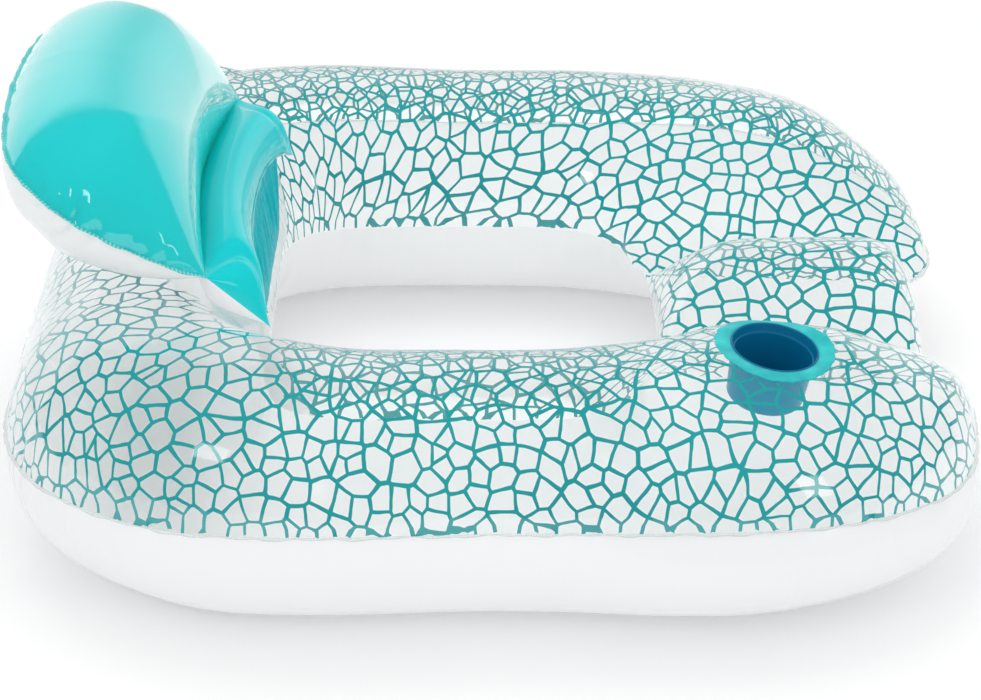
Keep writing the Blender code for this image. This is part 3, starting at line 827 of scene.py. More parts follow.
def armPuckers(places, run, side, toInner, toOuter):
    outer = runAlong(outerCurve(places))
    bent = smoothStep(sharpness(outerCurve(places), outer), *ringSwell["bend"])
    least, more = ringSwell["bendDepth"]
    outerRun = np.broadcast_to(outer[:, None], run.shape)
    depth = puckers(outerRun, toOuter, outerPuckers, ringSalts[side]) * (least + more * bent[:, None])
    crease = (places >= ring["holeCorner"])[:, None]
    hole = puckers(run, toInner, holePuckers, ringSalts[side] + 1)
    pinch = puckers(run, toInner, creasePuckers, creaseSalts[side])
    return np.maximum(depth, np.where(crease, pinch, hole)), np.minimum(toInner, toOuter)


def dressRing(points, places, side, top, leg):
    # Puckers at the welds and slow swells, as inflated film has
    outwards = gridNormals(points)
    if (outwards[..., 2].mean() < 0) == top:
        outwards = -outwards
    run = np.broadcast_to(runAlong(innerCurve(places))[:, None], points.shape[:2])
    toInner, toOuter = filmEdges(points)
    if leg:
        depth, edge = legPuckers(points, run, toInner, toOuter)
    else:
        depth, edge = armPuckers(places, run, side, toInner, toOuter)
    depth = depth * (1 - np.exp(-edge / ringSwell["weldFade"]))
    x, y, z = points[..., 0], points[..., 1], points[..., 2]
    turns = [x * along + y * across for along, across in ringSwell["waves"]]
    swell = np.sin(turns[0] + ringSalts[side]) * np.sin(turns[1] + 1.3)
    swell = swell + ringSwell["third"] * np.sin(turns[2])
    swell = ringSwell["height"] * swell * (1 - np.exp(-edge / ringSwell["fade"]))
    # The fittings hold the top flat, and the floor the underside
    calm = calmNear(points[..., :2]) if top else smoothStep(z, *ringSpans["floorCalm"])
    points += outwards * ((swell - depth) * calm)[..., None]
    if not top:
        points[..., 2] -= shift.z * (1 - smoothStep(points[..., 2], *ringSpans["floorShift"]))
    return edge


def ringPatches(top, stations, across, legAcross):
    places = evenPlaces(stations)
    shares = cosineShares(across)
    patches = []
    for side in (1, -1):
        points = ringSections(places, top, shares, side)
        patches.append((points * (1, side, 1), places, side, False))
    legPlaces = places[places >= ring["holeCorner"] - 1e-9]
    patches.append((legRestRows(legPlaces, cosineShares(legAcross), top), legPlaces, 1, True))
    return patches


def flatPattern(patches):
    # Lays the film out flat, as it was printed before it was welded, and returns each point's place there
    bm = newFilm()
    for points, *_ in patches:
        addGrid(bm, points)
    mergeSame(bm)
    pattern = addObject("pattern", bm, None)
    mesh = pattern.data
    mesh.uv_layers.new(name="flat")
    bpy.context.view_layer.objects.active = pattern
    pattern.select_set(True)
    bpy.ops.object.mode_set(mode="EDIT")
    bpy.ops.mesh.select_all(action="SELECT")
    bpy.ops.uv.unwrap(method="MINIMUM_STRETCH", fill_holes=False, iterations=20, margin=0.0)
    bpy.ops.object.mode_set(mode="OBJECT")
    flat = np.zeros((len(mesh.vertices), 3))
    corners = np.array([loop.vertex_index for loop in mesh.loops])
    flat[corners, :2] = np.array([item.uv for item in mesh.uv_layers["flat"].data])
    ends = np.array([edge.vertices for edge in mesh.edges])
    real = np.array([vert.co for vert in mesh.vertices])
    length = np.linalg.norm(real[ends[:, 0]] - real[ends[:, 1]], axis=1).sum()
    flat *= length / np.linalg.norm(flat[ends[:, 0]] - flat[ends[:, 1]], axis=1).sum()
    tree = nearestOf(real)
    laid = []
    for points, *_ in patches:
        found = [flat[tree.find(point)[1]] for point in points.reshape(-1, 3)]
        laid.append(np.array(found).reshape(points.shape))
    bpy.data.objects.remove(pattern)
    return laid


def finer(coarse, oldRows, oldColumns, rows, columns):
    # Values of a coarse grid at the rows and columns of a finer one
    layers = []
    for k in range(3):
        part = np.array([np.interp(columns, oldColumns, line[:, k]) for line in coarse])
        layers.append(np.array([np.interp(rows, oldRows, column) for column in part.T]).T)
    return np.stack(layers, axis=2)


bare = {
    "flangeEdge": (0.0712, 0.0722),
    "flangeHeight": 0.03,
    "foot": (
        (-0.425, 0.000),
        (-0.420, 0.150),
        (-0.411, 0.170),
        (-0.371, 0.215),
        (-0.346, 0.231),
        (-0.321, 0.288),
        (-0.306, 0.306),
        (-0.291, 0.319),
        (-0.273, 0.337),
        (-0.255, 0.344),
    ),
    "footWave": (0.003, 130),
    "footSoft": 0.001,
    "front": {1: -0.290, -1: -0.2505},  # the far side is printed up to the roll
    "frontSoft": 0.0015,
}


def unprinted(points):
    # Where the film carries no print: under the cup's flange and round the backrest's foot
    place = points - np.array(cup["centre"])
    normal = np.array(cup["normal"])
    away = np.linalg.norm(place - (place @ normal)[..., None] * normal, axis=-1)
    near = np.abs(place @ normal) < bare["flangeHeight"]
    byCup = np.where(near, smoothStep(away, *bare["flangeEdge"]), 1.0)
    x, across = points[..., 0], np.abs(points[..., 1])
    high, often = bare["footWave"]
    border = np.interp(x, *zip(*bare["foot"])) + high * np.sin(x * often)
    front = np.where(points[..., 1] > 0, bare["front"][1], bare["front"][-1])
    beside = smoothStep(across - border, -bare["footSoft"], bare["footSoft"])
    before = smoothStep(x - front, -bare["frontSoft"], bare["frontSoft"])
    return byCup * np.maximum(beside, before)


def ringTopFilm():
    coarse = ringPatches(True, *ring["patternGrid"])
    laid = flatPattern(coarse)
    print("print pattern laid flat")
    bm = newFilm("printPlace", "printEdge")
    fine = ringPatches(True, ring["stations"], ring["topAcross"], ring["legRestAcross"])
    for (old, oldPlaces, *_), flat, (points, places, side, leg) in zip(coarse, laid, fine):
        mask = unprinted(points)
        oldShares = cosineShares(old.shape[1] - 1)
        shares = cosineShares(points.shape[1] - 1)
        spot = finer(flat, oldPlaces, oldShares, places, shares)
        edge = dressRing(points, places, side, True, leg)
        for fitting in fittings:
            pressLevel(points, fitting)
        addGrid(bm, points, {"printPlace": spot, "printEdge": np.stack([edge, mask, edge * 0], axis=2)})
    for fitting in fittings:
        cutRound(bm, fitting["centre"], fitting["normal"], fitting["hole"])
    mergeSame(bm)
    faceTowards(bm, upwards)
    surface = BVHTree.FromBMesh(bm)
    addPiece("ringTopFilm", bm, clearPrint, "ring", ["ring_top_film"])
    return surface


def ringBottomFilm():
    bm = newFilm()
    patches = ringPatches(False, ring["stations"], ring["bottomAcross"], ring["lowerLegRestAcross"])
    for points, places, side, leg in patches:
        dressRing(points, places, side, False, leg)
        addGrid(bm, points)
    mergeSame(bm)
    faceTowards(bm, -upwards)
    addPiece("ringBottomFilm", bm, films["whiteFilm"], "ring", ["ring_bottom_film"])


weldEdge = {
    "pinch": 0.0016,
    "waves": ((0.0011, 61, 1), (0.0009, 143, 0)),  # how high each is, how fast, and with how much salt
}
ringWeld = {"width": 0.0034, "inset": 0.0010, "thickness": 0.0009}


def weldBand(bm, line, up, width, inset, salt):
    # A flat strip outside a weld line, slightly wavy, with its run along the weld for the ribs
    side = unitRows(np.cross(np.gradient(line, axis=0), up))
    run = runAlong(line)
    pinch = puckers(run, run * 0, outerPuckers, salt) / outerPuckers["depth"]
    shares = np.array([-inset, 0.0, width * 0.5, width])
    points = line[:, None] + side[:, None] * shares[None, :, None]
    points += side[:, None] * (-weldEdge["pinch"] * pinch[:, None] * (shares / width))[..., None]
    wave = sum(high * np.sin(run * fast + salty * salt) for high, fast, salty in weldEdge["waves"])
    points[..., 2] += wave[:, None] * np.clip(shares / width, 0, 1)
    spot = np.stack([np.broadcast_to(run[:, None], points.shape[:2])] * 3, axis=2)
    spot[..., 1] = shares
    addGrid(bm, points, {"weldRun": spot})


def ringWelds():
    bm = newFilm("weldRun")
    places = evenPlaces(ring["weldStations"])
    for side in (1, -1):
        line = outerCurve(places) * (1, side, 1)
        up = np.array(upwards) * -side
        weldBand(bm, line, up, ringWeld["width"], ringWeld["inset"], ringSalts[side])
    mergeSame(bm)
    faceTowards(bm, upwards)
    weld = addPiece("outerWeld", bm, welds["ringWeldFilm"], "ring")
    thicken(weld, ringWeld["thickness"])


filmSurface = ringTopFilm()
ringBottomFilm()
ringWelds()
print("ring films ready")

# Cup holder


def filmHeight(x, y):
    hit = filmSurface.ray_cast(Vector((x, y, 0.6)), -upwards)[0]
    return hit.z if hit else None


def spinProfile(bm, profile, steps):
    # Turns a profile of (radius, height) pairs about the cup holder's axis
    verts = [bm.verts.new((radius, 0, height)) for radius, height in profile]
    edges = [bm.edges.new(pair) for pair in zip(verts, verts[1:])]
    turn = {"cent": (0, 0, 0), "axis": upwards, "angle": 2 * math.pi}
    bmesh.ops.spin(bm, geom=verts + edges, steps=steps, use_merge=True, **turn)
    mergeSame(bm, 0.00001)
    bmesh.ops.recalc_face_normals(bm, faces=bm.faces)
    matrix = cup["normal"].to_track_quat("Z", "Y").to_matrix().to_4x4()
    matrix.translation = cup["centre"]
    bmesh.ops.transform(bm, matrix=matrix, verts=bm.verts)


def roundCorners(profile, radius, steps=3):
    # Replaces each corner of the profile by a small arc
    points = [Vector(point) for point in profile]
    rounded = [points[0]]
    for before, corner, after in zip(points, points[1:], points[2:]):
        reach = min(radius, (before - corner).length / 2.2, (after - corner).length / 2.2)
        start = corner + (before - corner).normalized() * reach
        end = corner + (after - corner).normalized() * reach
        for k in range(steps + 1):
            t = k / steps
            rounded.append(start * (1 - t) ** 2 + corner * 2 * t * (1 - t) + end * t * t)
    rounded.append(points[-1])
    return [tuple(point) for point in rounded]


def cupLiner():
    # Down the inside from the middle of the floor to the lip, and back up the outside
    floor, ledge, rim = -cup["depth"], -cup["step"], cup["lipRise"]
    lip, mouth, base = cup["lip"], cup["mouth"], cup["base"]
    profile = (
        (0.0, floor + 0.0026),
        (base * 0.55, floor + 0.0026),
        (base * 0.60, floor + 0.0014),
        (base - 0.0045, floor + 0.0014),
        (base - 0.0015, floor + 0.0050),
        (mouth - 0.0016, ledge - 0.0012),
        (mouth - 0.0012, ledge + 0.0010),
        (mouth + 0.0006, ledge + 0.0012),
        (mouth + 0.0026, rim - 0.0012),
        (mouth + 0.0034, rim),
        (lip - 0.0007, rim),
        (lip, rim - 0.0008),
        (lip, -0.0040),
        (mouth + 0.0022, ledge - 0.0015),
        (base + 0.0022, floor + 0.0020),
        (base - 0.0008, floor - 0.0020),
        (0.0, floor - 0.0020),
    )
    bm = bmesh.new()
    spinProfile(bm, roundCorners(profile, cup["corner"]), 96)
    mergeSame(bm)
    holder = addPiece("cupHolder", bm, films["cupBlue"], "ring", ["cup_wall", "cup_base"])
    holder.data.set_sharp_from_angle(angle=math.radians(50))
    # The side that is seen through the clear film gets a paler copy of the cup's blue: painted light on
    # the outside
    holder.data.materials.append(films["cupOutsidePaintedLight"])
    for face in holder.data.polygons:
        offset = face.center - cup["centre"] - shift
        height = offset.dot(cup["normal"])
        side = offset - height * cup["normal"]
        if height < -0.003 and face.normal.dot(side) > 0 or height < -cup["depth"]:
            face.material_index = 1


def cupFlange():
    # A thin ring with a ragged edge that lies on the film
    bm = bmesh.new()
    radii = (cup["lip"] - 0.0012, *cup["flangeRings"], cup["flange"] - 0.001, cup["flange"])
    spinProfile(bm, [(radius, 0.0) for radius in radii], 144)
    for vert in bm.verts:
        offset = vert.co - cup["centre"]
        turn = math.atan2(offset.y, offset.x)
        if offset.length > cup["flange"] - 0.0008:
            ragged = sum(far * math.sin(turn * often + start) for far, often, start in cup["ragged"])
            vert.co += offset.normalized() * ragged
        height = filmHeight(vert.co.x, vert.co.y)
        if height is not None and offset.length > cup["hole"] - 0.0005:
            vert.co.z = height + cup["flangeRise"]
    faceTowards(bm, upwards)
    mergeSame(bm)
    collar = addPiece("cupFlange", bm, films["flangeTeal"], "ring", ["cup_flange"])
    thicken(collar, cup["flangeThickness"], -1.0)


cupLiner()
cupFlange()
print("cup holder ready")

# Backrest: the pillow and the roll are one film on each side, welded along the crease and the edges

backrest = {
    "creaseX": -0.336,
    "creaseZ": 0.3355,
    "creaseHalf": 0.267,
    "creaseBow": 0.024,
    "creaseSag": 0.025,
    "tilt": math.radians(27.5),
    "side": ((0.000, 0.267), (0.060, 0.286), (0.140, 0.288), (0.190, 0.276), (0.225, 0.250)),
    "back": ((0.225, 0.250), (0.253, 0.222), (0.272, 0.165), (0.282, 0.080), (0.285, 0.000)),
    "rise": 0.128,
    "sink": 0.105,
    "rounding": 0.240,
    "creaseRounding": 0.180,
    "rollTip": (-0.2635, 0.2475, 0.2595),
    "rollFront": (-0.2985, 0.0, 0.303),
    "rollFrontPowers": (2.2, 4),
    "rollHeight": 0.040,
    "rollEnds": 0.25,
    "rollFullness": 0.7,
    "clearance": 0.006,
    "cap": {"width": 0.190, "spread": 0.048, "depth": 0.0090, "bow": 0.8},
    "valve": (0.149, 0.123),
    "valveDepth": 0.085,
    "valveLevel": (0.045, 0.080),
    "valveHole": 0.0128,
    "columns": 132,
    "pillowRows": 84,
    "rollRows": 30,
}
backPuckers = {"spacing": 0.028, "reach": 0.030, "width": 0.0046, "spread": 0.020, "depth": 0.0062}
rollPuckers = {"spacing": 0.024, "reach": 0.010, "width": 0.0032, "spread": 0.014, "depth": 0.0012}
backDepths = {"sides": 1.3, "back": 0.15, "calmCrease": (0.010, 0.070), "weldFade": 0.004}
cosTilt, sinTilt = math.cos(backrest["tilt"]), math.sin(backrest["tilt"])
backNormal = Vector((sinTilt, 0, cosTilt))


def pillowSide(share, side):
    found = smoothCurve(backrest["side"], share * (len(backrest["side"]) - 1))
    return found * (1, side)


def pillowBack(across):
    found = smoothCurve(backrest["back"], (1 - np.abs(across)) * (len(backrest["back"]) - 1))
    return found * np.stack([np.ones_like(across), np.where(across < 0, -1, 1)], axis=1)


def creasePoints(across):
    rest = 1 - across**2
    rows = [backrest["creaseBow"] * rest, backrest["creaseHalf"] * across, -backrest["creaseSag"] * rest]
    return np.stack(rows, axis=1)


def toRow(s, w, height):
    x = backrest["creaseX"] - s * cosTilt + height * sinTilt
    z = backrest["creaseZ"] + s * sinTilt + height * cosTilt
    return np.stack([x, w, z], axis=-1)


pillowOutline = np.vstack([pillowSide(np.linspace(0, 1, 60), 1), pillowBack(np.linspace(1, 0, 60))])
pillowCrease = creasePoints(np.linspace(0, 1, 60))[:, :2]


def pillowPoints(across, shares, top):
    a, t = np.meshgrid(across, shares)
    a, t = a.ravel(), t.ravel()
    right = ((a + 1) / 2)[:, None]
    share = t[:, None]
    rows = (1 - share) * creasePoints(a)[:, :2] + share * pillowBack(a)
    sides, front, rear = (
        (1 - right) * pillowSide(place, -1) + right * pillowSide(place, 1)
        for place in (t, np.zeros(1), np.ones(1))
    )
    plan = rows + sides - (1 - share) * front - share * rear
    shape = quarterRound(distanceTo(pillowOutline, plan), backrest["rounding"])
    shape = shape * quarterRound(distanceTo(pillowCrease, plan), backrest["creaseRounding"])
    height = creasePoints(a)[:, 2] * (1 - t) ** 3
    if top:
        height = height + backrest["rise"] * shape
    else:
        height = height - backrest["sink"] * shape
        away = np.linalg.norm(plan - np.array(backrest["valve"]), axis=1)
        level = 1 - smoothStep(away, *backrest["valveLevel"])
        height = height - (backrest["valveDepth"] + height) * level
    return toRow(plan[:, 0], plan[:, 1], height).reshape(len(shares), len(across), 3)


def rollFront(across):
    far = np.abs(across)
    tip, front = backrest["rollTip"], backrest["rollFront"]
    power, steeper = backrest["rollFrontPowers"]
    x = front[0] + (tip[0] - front[0]) * far**power
    z = front[2] + (tip[2] - front[2]) * far**steeper
    return np.stack([x, tip[1] * across, z], axis=1)


def rollPoints(across, shares, top):
    crease = toRow(*creasePoints(across).T)
    chord = rollFront(across) - crease
    normal = np.stack([-chord[:, 2], 0 * across, chord[:, 0]], axis=1)
    normal /= np.hypot(chord[:, 0], chord[:, 2])[:, None]
    ends = quarterRound(1 - np.abs(across), backrest["rollEnds"])
    bulge = np.abs(np.sin(math.pi * shares)) ** backrest["rollFullness"]
    height = backrest["rollHeight"] * (1 if top else -1) * ends[None, :] * bulge[:, None]
    if top:
        # A pinched line sets off a small round cap at each end of the roll
        cap = backrest["cap"]
        bow = cap["width"] * bulge[:, None] ** cap["bow"]
        near = (1 - np.abs(across)[None, :] - bow) / cap["spread"]
        height = height - cap["depth"] * bulge[:, None] * np.exp(-(near**2))
    return crease + chord[None] * shares[:, None, None] + normal[None] * height[..., None]


def ringTopBehind(plan):
    inner, outer = ring["innerEdge"][0], ring["outerEdge"][0]
    seam = np.interp(-plan[..., 0], (-inner[0], -outer[0]), (inner[2], outer[2]))
    return ringHeight(plan, seam, True, 1)


def pillowDepths(points):
    shape = points.shape[:2]
    sideRun = np.broadcast_to(runAlong(points[:, 0])[:, None], shape)
    backRun = np.broadcast_to(runAlong(points[-1])[None, :], shape)
    toLeft, toRight = farFrom(points, points[:, :1]), farFrom(points, points[:, -1:])
    toBack, toCrease = farFrom(points, points[-1:]), farFrom(points, points[:1])
    depth = puckers(sideRun, toLeft, backPuckers, 1.1)
    depth = np.maximum(depth, puckers(sideRun, toRight, backPuckers, 2.3))
    depth = depth * smoothStep(toCrease, *backDepths["calmCrease"])
    back = backDepths["back"] * puckers(backRun, toBack, backPuckers, 3.7)
    depth = np.maximum(backDepths["sides"] * depth, back)
    depth = np.maximum(depth, puckers(backRun, toCrease, rollPuckers, 4.1))
    return depth, np.minimum(np.minimum(toLeft, toRight), np.minimum(toBack, toCrease))


def rollDepths(points):
    run = np.broadcast_to(runAlong(points[0])[None, :], points.shape[:2])
    toFront, toCrease = farFrom(points, points[:1]), farFrom(points, points[-1:])
    ends = np.minimum(farFrom(points, points[:, :1]), farFrom(points, points[:, -1:]))
    depth = puckers(run, toFront, rollPuckers, 5.9)
    depth = np.maximum(depth, puckers(run, toCrease, rollPuckers, 4.1))
    return depth, np.minimum(np.minimum(toFront, toCrease), ends)


def backrestParts(top):
    # The roll's and the pillow's film, with their puckers, kept clear of the ring
    across = 2 * cosineShares(backrest["columns"]) - 1
    roll = rollPoints(across, np.linspace(0, 1, backrest["rollRows"] + 1), top)[::-1]
    pillow = pillowPoints(across, cosineShares(backrest["pillowRows"]), top)
    for points, depthsOf in ((roll, rollDepths), (pillow, pillowDepths)):
        outwards = gridNormals(points)
        facing = 1 if (outwards @ np.array(backNormal)).mean() > 0 else -1
        outwards = outwards * facing * (1 if top else -1)
        depth, edge = depthsOf(points)
        depth = depth * (1 - np.exp(-edge / backDepths["weldFade"]))
        points += outwards * -depth[..., None]
    for points in (roll, pillow):
        rest = ringTopBehind(points[..., :2]) + backrest["clearance"]
        points[..., 2] = np.maximum(points[..., 2], rest)
    return roll, pillow


def backrestTop():
    bm = newFilm()
    for part, points in enumerate(backrestParts(True)):
        for vert in addGrid(bm, points):
            for face in vert.link_faces:
                face.material_index = 1 - part
    mergeSame(bm)
    faceTowards(bm, backNormal)
    turquoise = films["turquoiseFilm"]
    film = addPiece("backrestTopFilm", bm, turquoise, "backrest", ["backrest_top_film"])
    film.data.materials.append(films["rollFilm"])
    return film


def backrestUnderside():
    bm = newFilm()
    for points in backrestParts(False):
        addGrid(bm, points)
    mergeSame(bm)
    faceTowards(bm, -backNormal)
    centre = Vector(toRow(*backrest["valve"], -backrest["valveDepth"]))
    cutRound(bm, centre, backNormal, backrest["valveHole"])
    film = films["whiteBackFilm"]
    addPiece("backrestUnderside", bm, film, "backrest", ["backrest_bottom_film"])


backWeld = {
    "width": 0.0042,
    "inset": 0.0010,
    "thickness": 0.0010,
    "frontWidth": 0.6 * 0.0042,
    "frontReach": 0.93,
    "frontUp": (0.5, 0, 0.85),
}


def backrestWeld():
    # The ribbed strip outside the seam, round the pillow and along the roll's front
    roll, pillow = backrestParts(True)
    bm = newFilm("weldRun")
    around = np.vstack([pillow[:, 0], pillow[-1, 1:], pillow[-2::-1, -1]])
    steps = runAlong(around)
    even = np.linspace(0, steps[-1], 620)
    line = np.stack([np.interp(even, steps, around[:, k]) for k in range(3)], axis=1)
    weldBand(bm, line, -np.array(backNormal), backWeld["width"], backWeld["inset"], 2.6)
    front = rollFront(np.linspace(-backWeld["frontReach"], backWeld["frontReach"], 300))
    weldBand(bm, front, np.array(backWeld["frontUp"]), backWeld["frontWidth"], 0.0, 5.2)
    faceTowards(bm, backNormal)
    mergeSame(bm)
    weld = addPiece("backrestWeld", bm, welds["backrestWeldFilm"], "backrest")
    thicken(weld, backWeld["thickness"])


apron = {
    "half": 0.72,
    "columns": 130,
    "rows": 26,
    "low": 0.016,
    "lower": 0.003,
    "taper": {1: 12.0, -1: 3.0},  # it reaches less far down towards its ends, more so by the cup holder
    "most": 0.97,
    "reach": 2.85,
    "clear": 0.0020,
    "bulge": 0.001,
    "ripple": 0.0013,
    "stripBulge": 0.002,
    "stripStart": (0.0012, 0, -0.003),
}


def ringInside(across, share):
    # Points on the ring's inner wall, across the rear, at a share of its sections
    places = apron["reach"] * np.abs(across)
    order = np.argsort(places, kind="stable")
    found = np.zeros((len(across), 3))
    section = ringSections(places[order], True, np.array([0.0, share, 1.0]), 1)
    way = (section[:, 0] - section[:, 2]) * (1, 1, 0)
    found[order] = section[:, 1] + unitRows(way) * apron["clear"]
    found[:, 1] *= np.sign(across)
    return found


def wrinkles(across, shares):
    # Soft upright folds that wander a little
    drift = 0.35 * np.sin(shares * 5.0 + across * 9.0)
    folds = np.sin(across * 37 + drift) + 0.7 * np.sin(across * 83 + 2 * drift + 1.0)
    return folds + 0.5 * np.sin(across * 151 - drift)


def foldedFilm(name, points, film, replaced=()):
    # A film that joins the ring to the backrest and bends between them
    bm = newFilm()
    addGrid(bm, points)
    faceTowards(bm, (1, 0, 0))
    mergeSame(bm)
    piece = addPiece(name, bm, film, None, replaced)
    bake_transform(piece)


def rollApron():
    # The turquoise film goes on down the roll's front to the ring, and the clear strip joins it there
    across = apron["half"] * np.linspace(-1, 1, apron["columns"] + 1)
    shares = np.linspace(0, 1, apron["rows"] + 1)[:, None]
    head = rollFront(across)
    power = np.where(across > 0, apron["taper"][1], apron["taper"][-1])
    far = apron["most"] * (np.abs(across / apron["half"]) ** power)[:, None]
    foot = ringInside(across, apron["low"]) * (1 - far) + head * far
    points = head[None] + (foot - head)[None] * shares[..., None]
    dip = np.sin(math.pi * shares) * (1 - far.T)
    points[..., 0] += dip * (apron["bulge"] + apron["ripple"] * wrinkles(across[None], shares))
    # The front panel gets the darker copy of the turquoise: painted shade
    foldedFilm("rollFront", points, films["rollFrontPaintedShade"])
    bottom = ringInside(across, apron["lower"])
    lead = foot - apron["stripStart"]
    points = lead[None] + (bottom - lead)[None] * shares[..., None]
    ripple = apron["ripple"] * wrinkles(across[None] * 1.3, shares)
    points[..., 0] += np.sin(math.pi * shares) * (ripple + apron["stripBulge"])
    foldedFilm("foldStrip", points, films["stripFilm"], ["hinge_strip"])


air = {
    "pressure": 4.0,
    "frames": 20,
    "most": 0.006,
    "stretch": 0.003,
    "heldNear": 0.004,
    "quality": 6,
    "mass": 0.2,
    "tension": 30.0,
    "shear": 10.0,
    "bending": 0.4,
    "roll": (0.12, 0.004, 0.060),  # least share of the move, and where along the pillow it starts and ends
    "back": (0.20, 0.200, 0.260),
}


def heldPoints(mesh):
    # The vertices at the film's edges and on its crease and the roll's front
    across = np.linspace(-1, 1, 400)
    lines = np.vstack([toRow(*creasePoints(across).T), rollFront(across)]) + np.array(shift)
    tree = nearestOf(lines)
    bm = bmesh.new()
    bm.from_mesh(mesh)
    held = [vert.index for vert in bm.verts if vert.is_boundary or tree.find(vert.co)[2] < air["heldNear"]]
    bm.free()
    return held


def inflate(piece):
    # Air pressure swells the film between its welds in a cloth simulation, with a cap on each point's move
    mesh = piece.data
    before = np.array([vert.co for vert in mesh.vertices])
    group = piece.vertex_groups.new(name="welds")
    group.add(heldPoints(mesh), 1.0, "REPLACE")
    cloth = piece.modifiers.new("air", "CLOTH")
    settings = cloth.settings
    settings.quality = air["quality"]
    settings.mass = air["mass"]
    settings.tension_stiffness = settings.compression_stiffness = air["tension"]
    settings.shear_stiffness = air["shear"]
    settings.bending_stiffness = air["bending"]
    settings.use_pressure = True
    settings.uniform_pressure_force = air["pressure"]
    settings.shrink_min = -air["stretch"]
    settings.vertex_group_mass = "welds"
    settings.effector_weights.gravity = 0.0
    scene = bpy.context.scene
    for frameNumber in range(1, air["frames"] + 1):
        scene.frame_set(frameNumber)
    swollen = piece.evaluated_get(bpy.context.evaluated_depsgraph_get())
    after = np.array([vert.co for vert in swollen.data.vertices])
    piece.modifiers.remove(cloth)
    piece.vertex_groups.remove(group)
    scene.frame_set(1)
    move = after - before
    size = np.linalg.norm(move, axis=1, keepdims=True)
    move *= np.tanh(size / air["most"]) * air["most"] / np.maximum(size, 1e-9)
    # The roll and the back edge are firmer than the middle of the pillow
    along = (backrest["creaseX"] - before[:, 0]) * cosTilt + (before[:, 2] - backrest["creaseZ"]) * sinTilt
    least, start, end = air["roll"]
    move *= (least + (1 - least) * smoothStep(along, start, end))[:, None]
    least, start, end = air["back"]
    move *= (1 - (1 - least) * smoothStep(along, start, end))[:, None]
    mesh.vertices.foreach_set("co", (before + move).ravel())
    mesh.update()
    print("film moved by air", float(size.max()), float(np.linalg.norm(move, axis=1).mean()))


pillowFilm = backrestTop()
backrestUnderside()
inflate(pillowFilm)
backrestWeld()
rollApron()
print("backrest ready")

# The valves keep their frame shapes, with a finish of their own
for name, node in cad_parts.items():
    if "valve" in name:
        node.data.materials.clear()
        node.data.materials.append(films["valveClear"])

# Floor, light and camera

floorLook = {"size": 20.0, "drop": 0.0002, "colour": (0.82, 0.82, 0.825, 1), "glow": 0.14}
worldLevel = (0.96, 1.0)  # on surfaces, and as it is seen


def seenDirectly(tree):
    # 1 for what the camera sees, also in glass and gloss
    path = addNode(tree, "LightPath").outputs
    seen = math2(tree, "MAXIMUM", path["Is Camera Ray"], path["Is Glossy Ray"])
    return math2(tree, "MAXIMUM", seen, path["Is Transmission Ray"])


def studio():
    material, tree, output = newMaterial("floorWhite")
    glow = math2(tree, "MULTIPLY", seenDirectly(tree), floorLook["glow"])
    matt = nodeOut(tree, "BsdfDiffuse", {"Color": floorLook["colour"]})
    shine = nodeOut(tree, "Emission", {"Color": white, "Strength": glow})
    both = nodeOut(tree, "AddShader", {0: matt, 1: shine})
    tree.links.new(both, output.inputs["Surface"])
    bm = bmesh.new()
    bmesh.ops.create_grid(bm, x_segments=1, y_segments=1, size=floorLook["size"])
    floor = addObject("floor", bm, material)
    floor.location = (0, 0, -floorLook["drop"])
    world = bpy.data.worlds.new("studio")
    bpy.context.scene.world = world
    world.use_nodes = True
    tree = world.node_tree
    tree.nodes.clear()
    output = tree.nodes.new("ShaderNodeOutputWorld")
    level = mapRange(tree, seenDirectly(tree), (0.0, 1.0), *worldLevel)
    back = nodeOut(tree, "Background", {"Color": white, "Strength": level})
    tree.links.new(back, output.inputs["Surface"])


studioRoom = {
    "radius": 6.0,
    "halfWidth": 68.0,
    "top": 41.0,
    "soft": 6.0,
    "level": 0.19,
    "gap": {"width": 13.0, "dim": 0.50},  # between the two lights behind the lounger
}


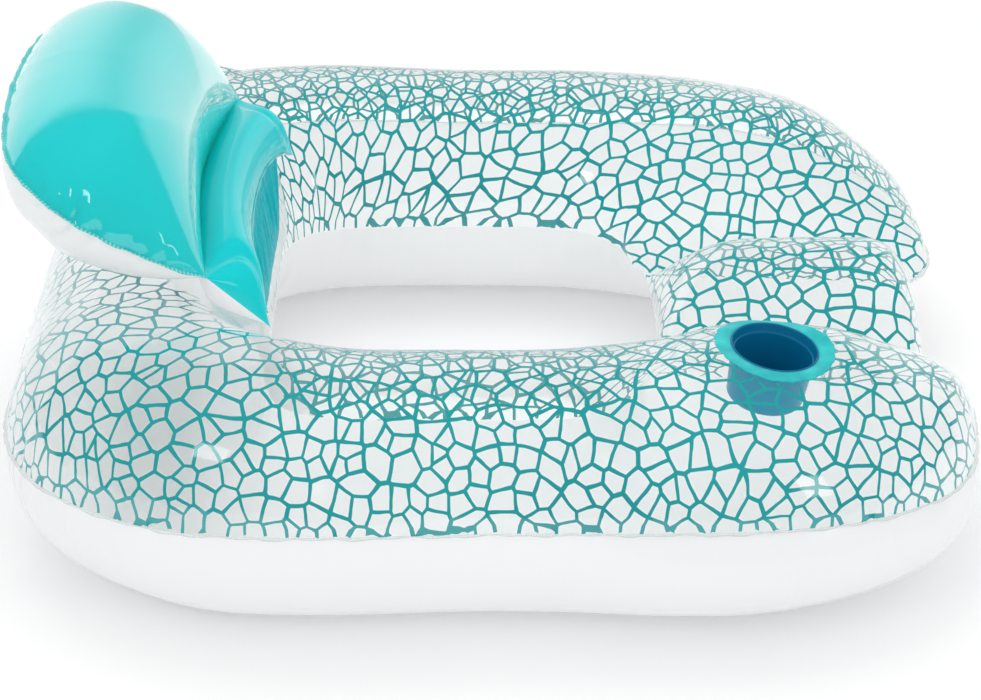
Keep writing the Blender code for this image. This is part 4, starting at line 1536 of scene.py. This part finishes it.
def dimRoom():
    # The room round the lounger as its gloss shows it: a lit backdrop under an arch, and dim elsewhere
    bm = newFilm("roomLight")
    bmesh.ops.create_uvsphere(bm, u_segments=144, v_segments=80, radius=studioRoom["radius"])
    bmesh.ops.delete(bm, geom=[vert for vert in bm.verts if vert.co.z < -0.1], context="VERTS")
    layer = bm.verts.layers.float_vector["roomLight"]
    gap = studioRoom["gap"]
    for vert in bm.verts:
        height = math.degrees(math.asin(vert.co.normalized().z))
        aside = math.degrees(abs(math.atan2(vert.co.x, vert.co.y))) / studioRoom["halfWidth"]
        arch = studioRoom["top"] * max(0.0, 1 - aside**3) ** (1 / 3) if aside < 1 else -9.0
        light = float(smoothStep(arch - height, -studioRoom["soft"], studioRoom["soft"]))
        light *= 1 - gap["dim"] * math.exp(-((aside * studioRoom["halfWidth"] / gap["width"]) ** 2))
        vert[layer] = (light, 0, 0)
    bmesh.ops.reverse_faces(bm, faces=bm.faces)
    material, tree, output = newMaterial("dimWall")
    lit = addNode(tree, "Attribute", attribute_name="roomLight").outputs["Fac"]
    # A vector's factor is its mean, a third of its first value
    level = mapRange(tree, lit, (0.0, 1 / 3), studioRoom["level"], 1.0)
    glow = nodeOut(tree, "Emission", {"Color": white, "Strength": level})
    tree.links.new(glow, output.inputs["Surface"])
    room = addObject("dimRoom", bm, material)
    room.visible_camera = room.visible_diffuse = room.visible_shadow = room.visible_transmission = False


lampAim = Vector((0, 0, 0.2))
lamps = {
    "overheadBox": {"place": (-0.3, 0.6, 2.6), "size": (2.4, 1.6), "power": 13.0, "mirrored": False},
    "frontBox": {"place": (-1.7, -2.6, 2.4), "size": (0.7, 0.7), "power": 6.0, "mirrored": True},
    "sideBox": {"place": (2.3, -2.3, 1.5), "size": (0.4, 1.0), "power": 4.0, "mirrored": True},
}


def addLamps():
    for name, lamp in lamps.items():
        data = bpy.data.lights.new(name, "AREA")
        data.shape = "RECTANGLE"
        data.size, data.size_y = lamp["size"]
        data.energy = lamp["power"]
        box = bpy.data.objects.new(name, data)
        box.location = lamp["place"]
        box.rotation_euler = (Vector(lamp["place"]) - lampAim).to_track_quat("Z", "Y").to_euler()
        box.visible_glossy = lamp["mirrored"]
        bpy.context.scene.collection.objects.link(box)


view = {"place": (0.0007, -3.4356, 1.9218), "down": 27.97, "lens": 110.4, "sensor": 36.0, "end": 60.0}


def addCamera():
    data = bpy.data.cameras.new("camera")
    data.sensor_width = view["sensor"]
    data.lens = view["lens"]
    data.clip_end = view["end"]
    camera = bpy.data.objects.new("camera", data)
    camera.location = view["place"]
    camera.rotation_euler = (math.radians(90 - view["down"]), 0, 0)
    bpy.context.scene.collection.objects.link(camera)
    bpy.context.scene.camera = camera


studio()
dimRoom()
addLamps()
addCamera()
bpy.context.scene.view_settings.view_transform = "Standard"
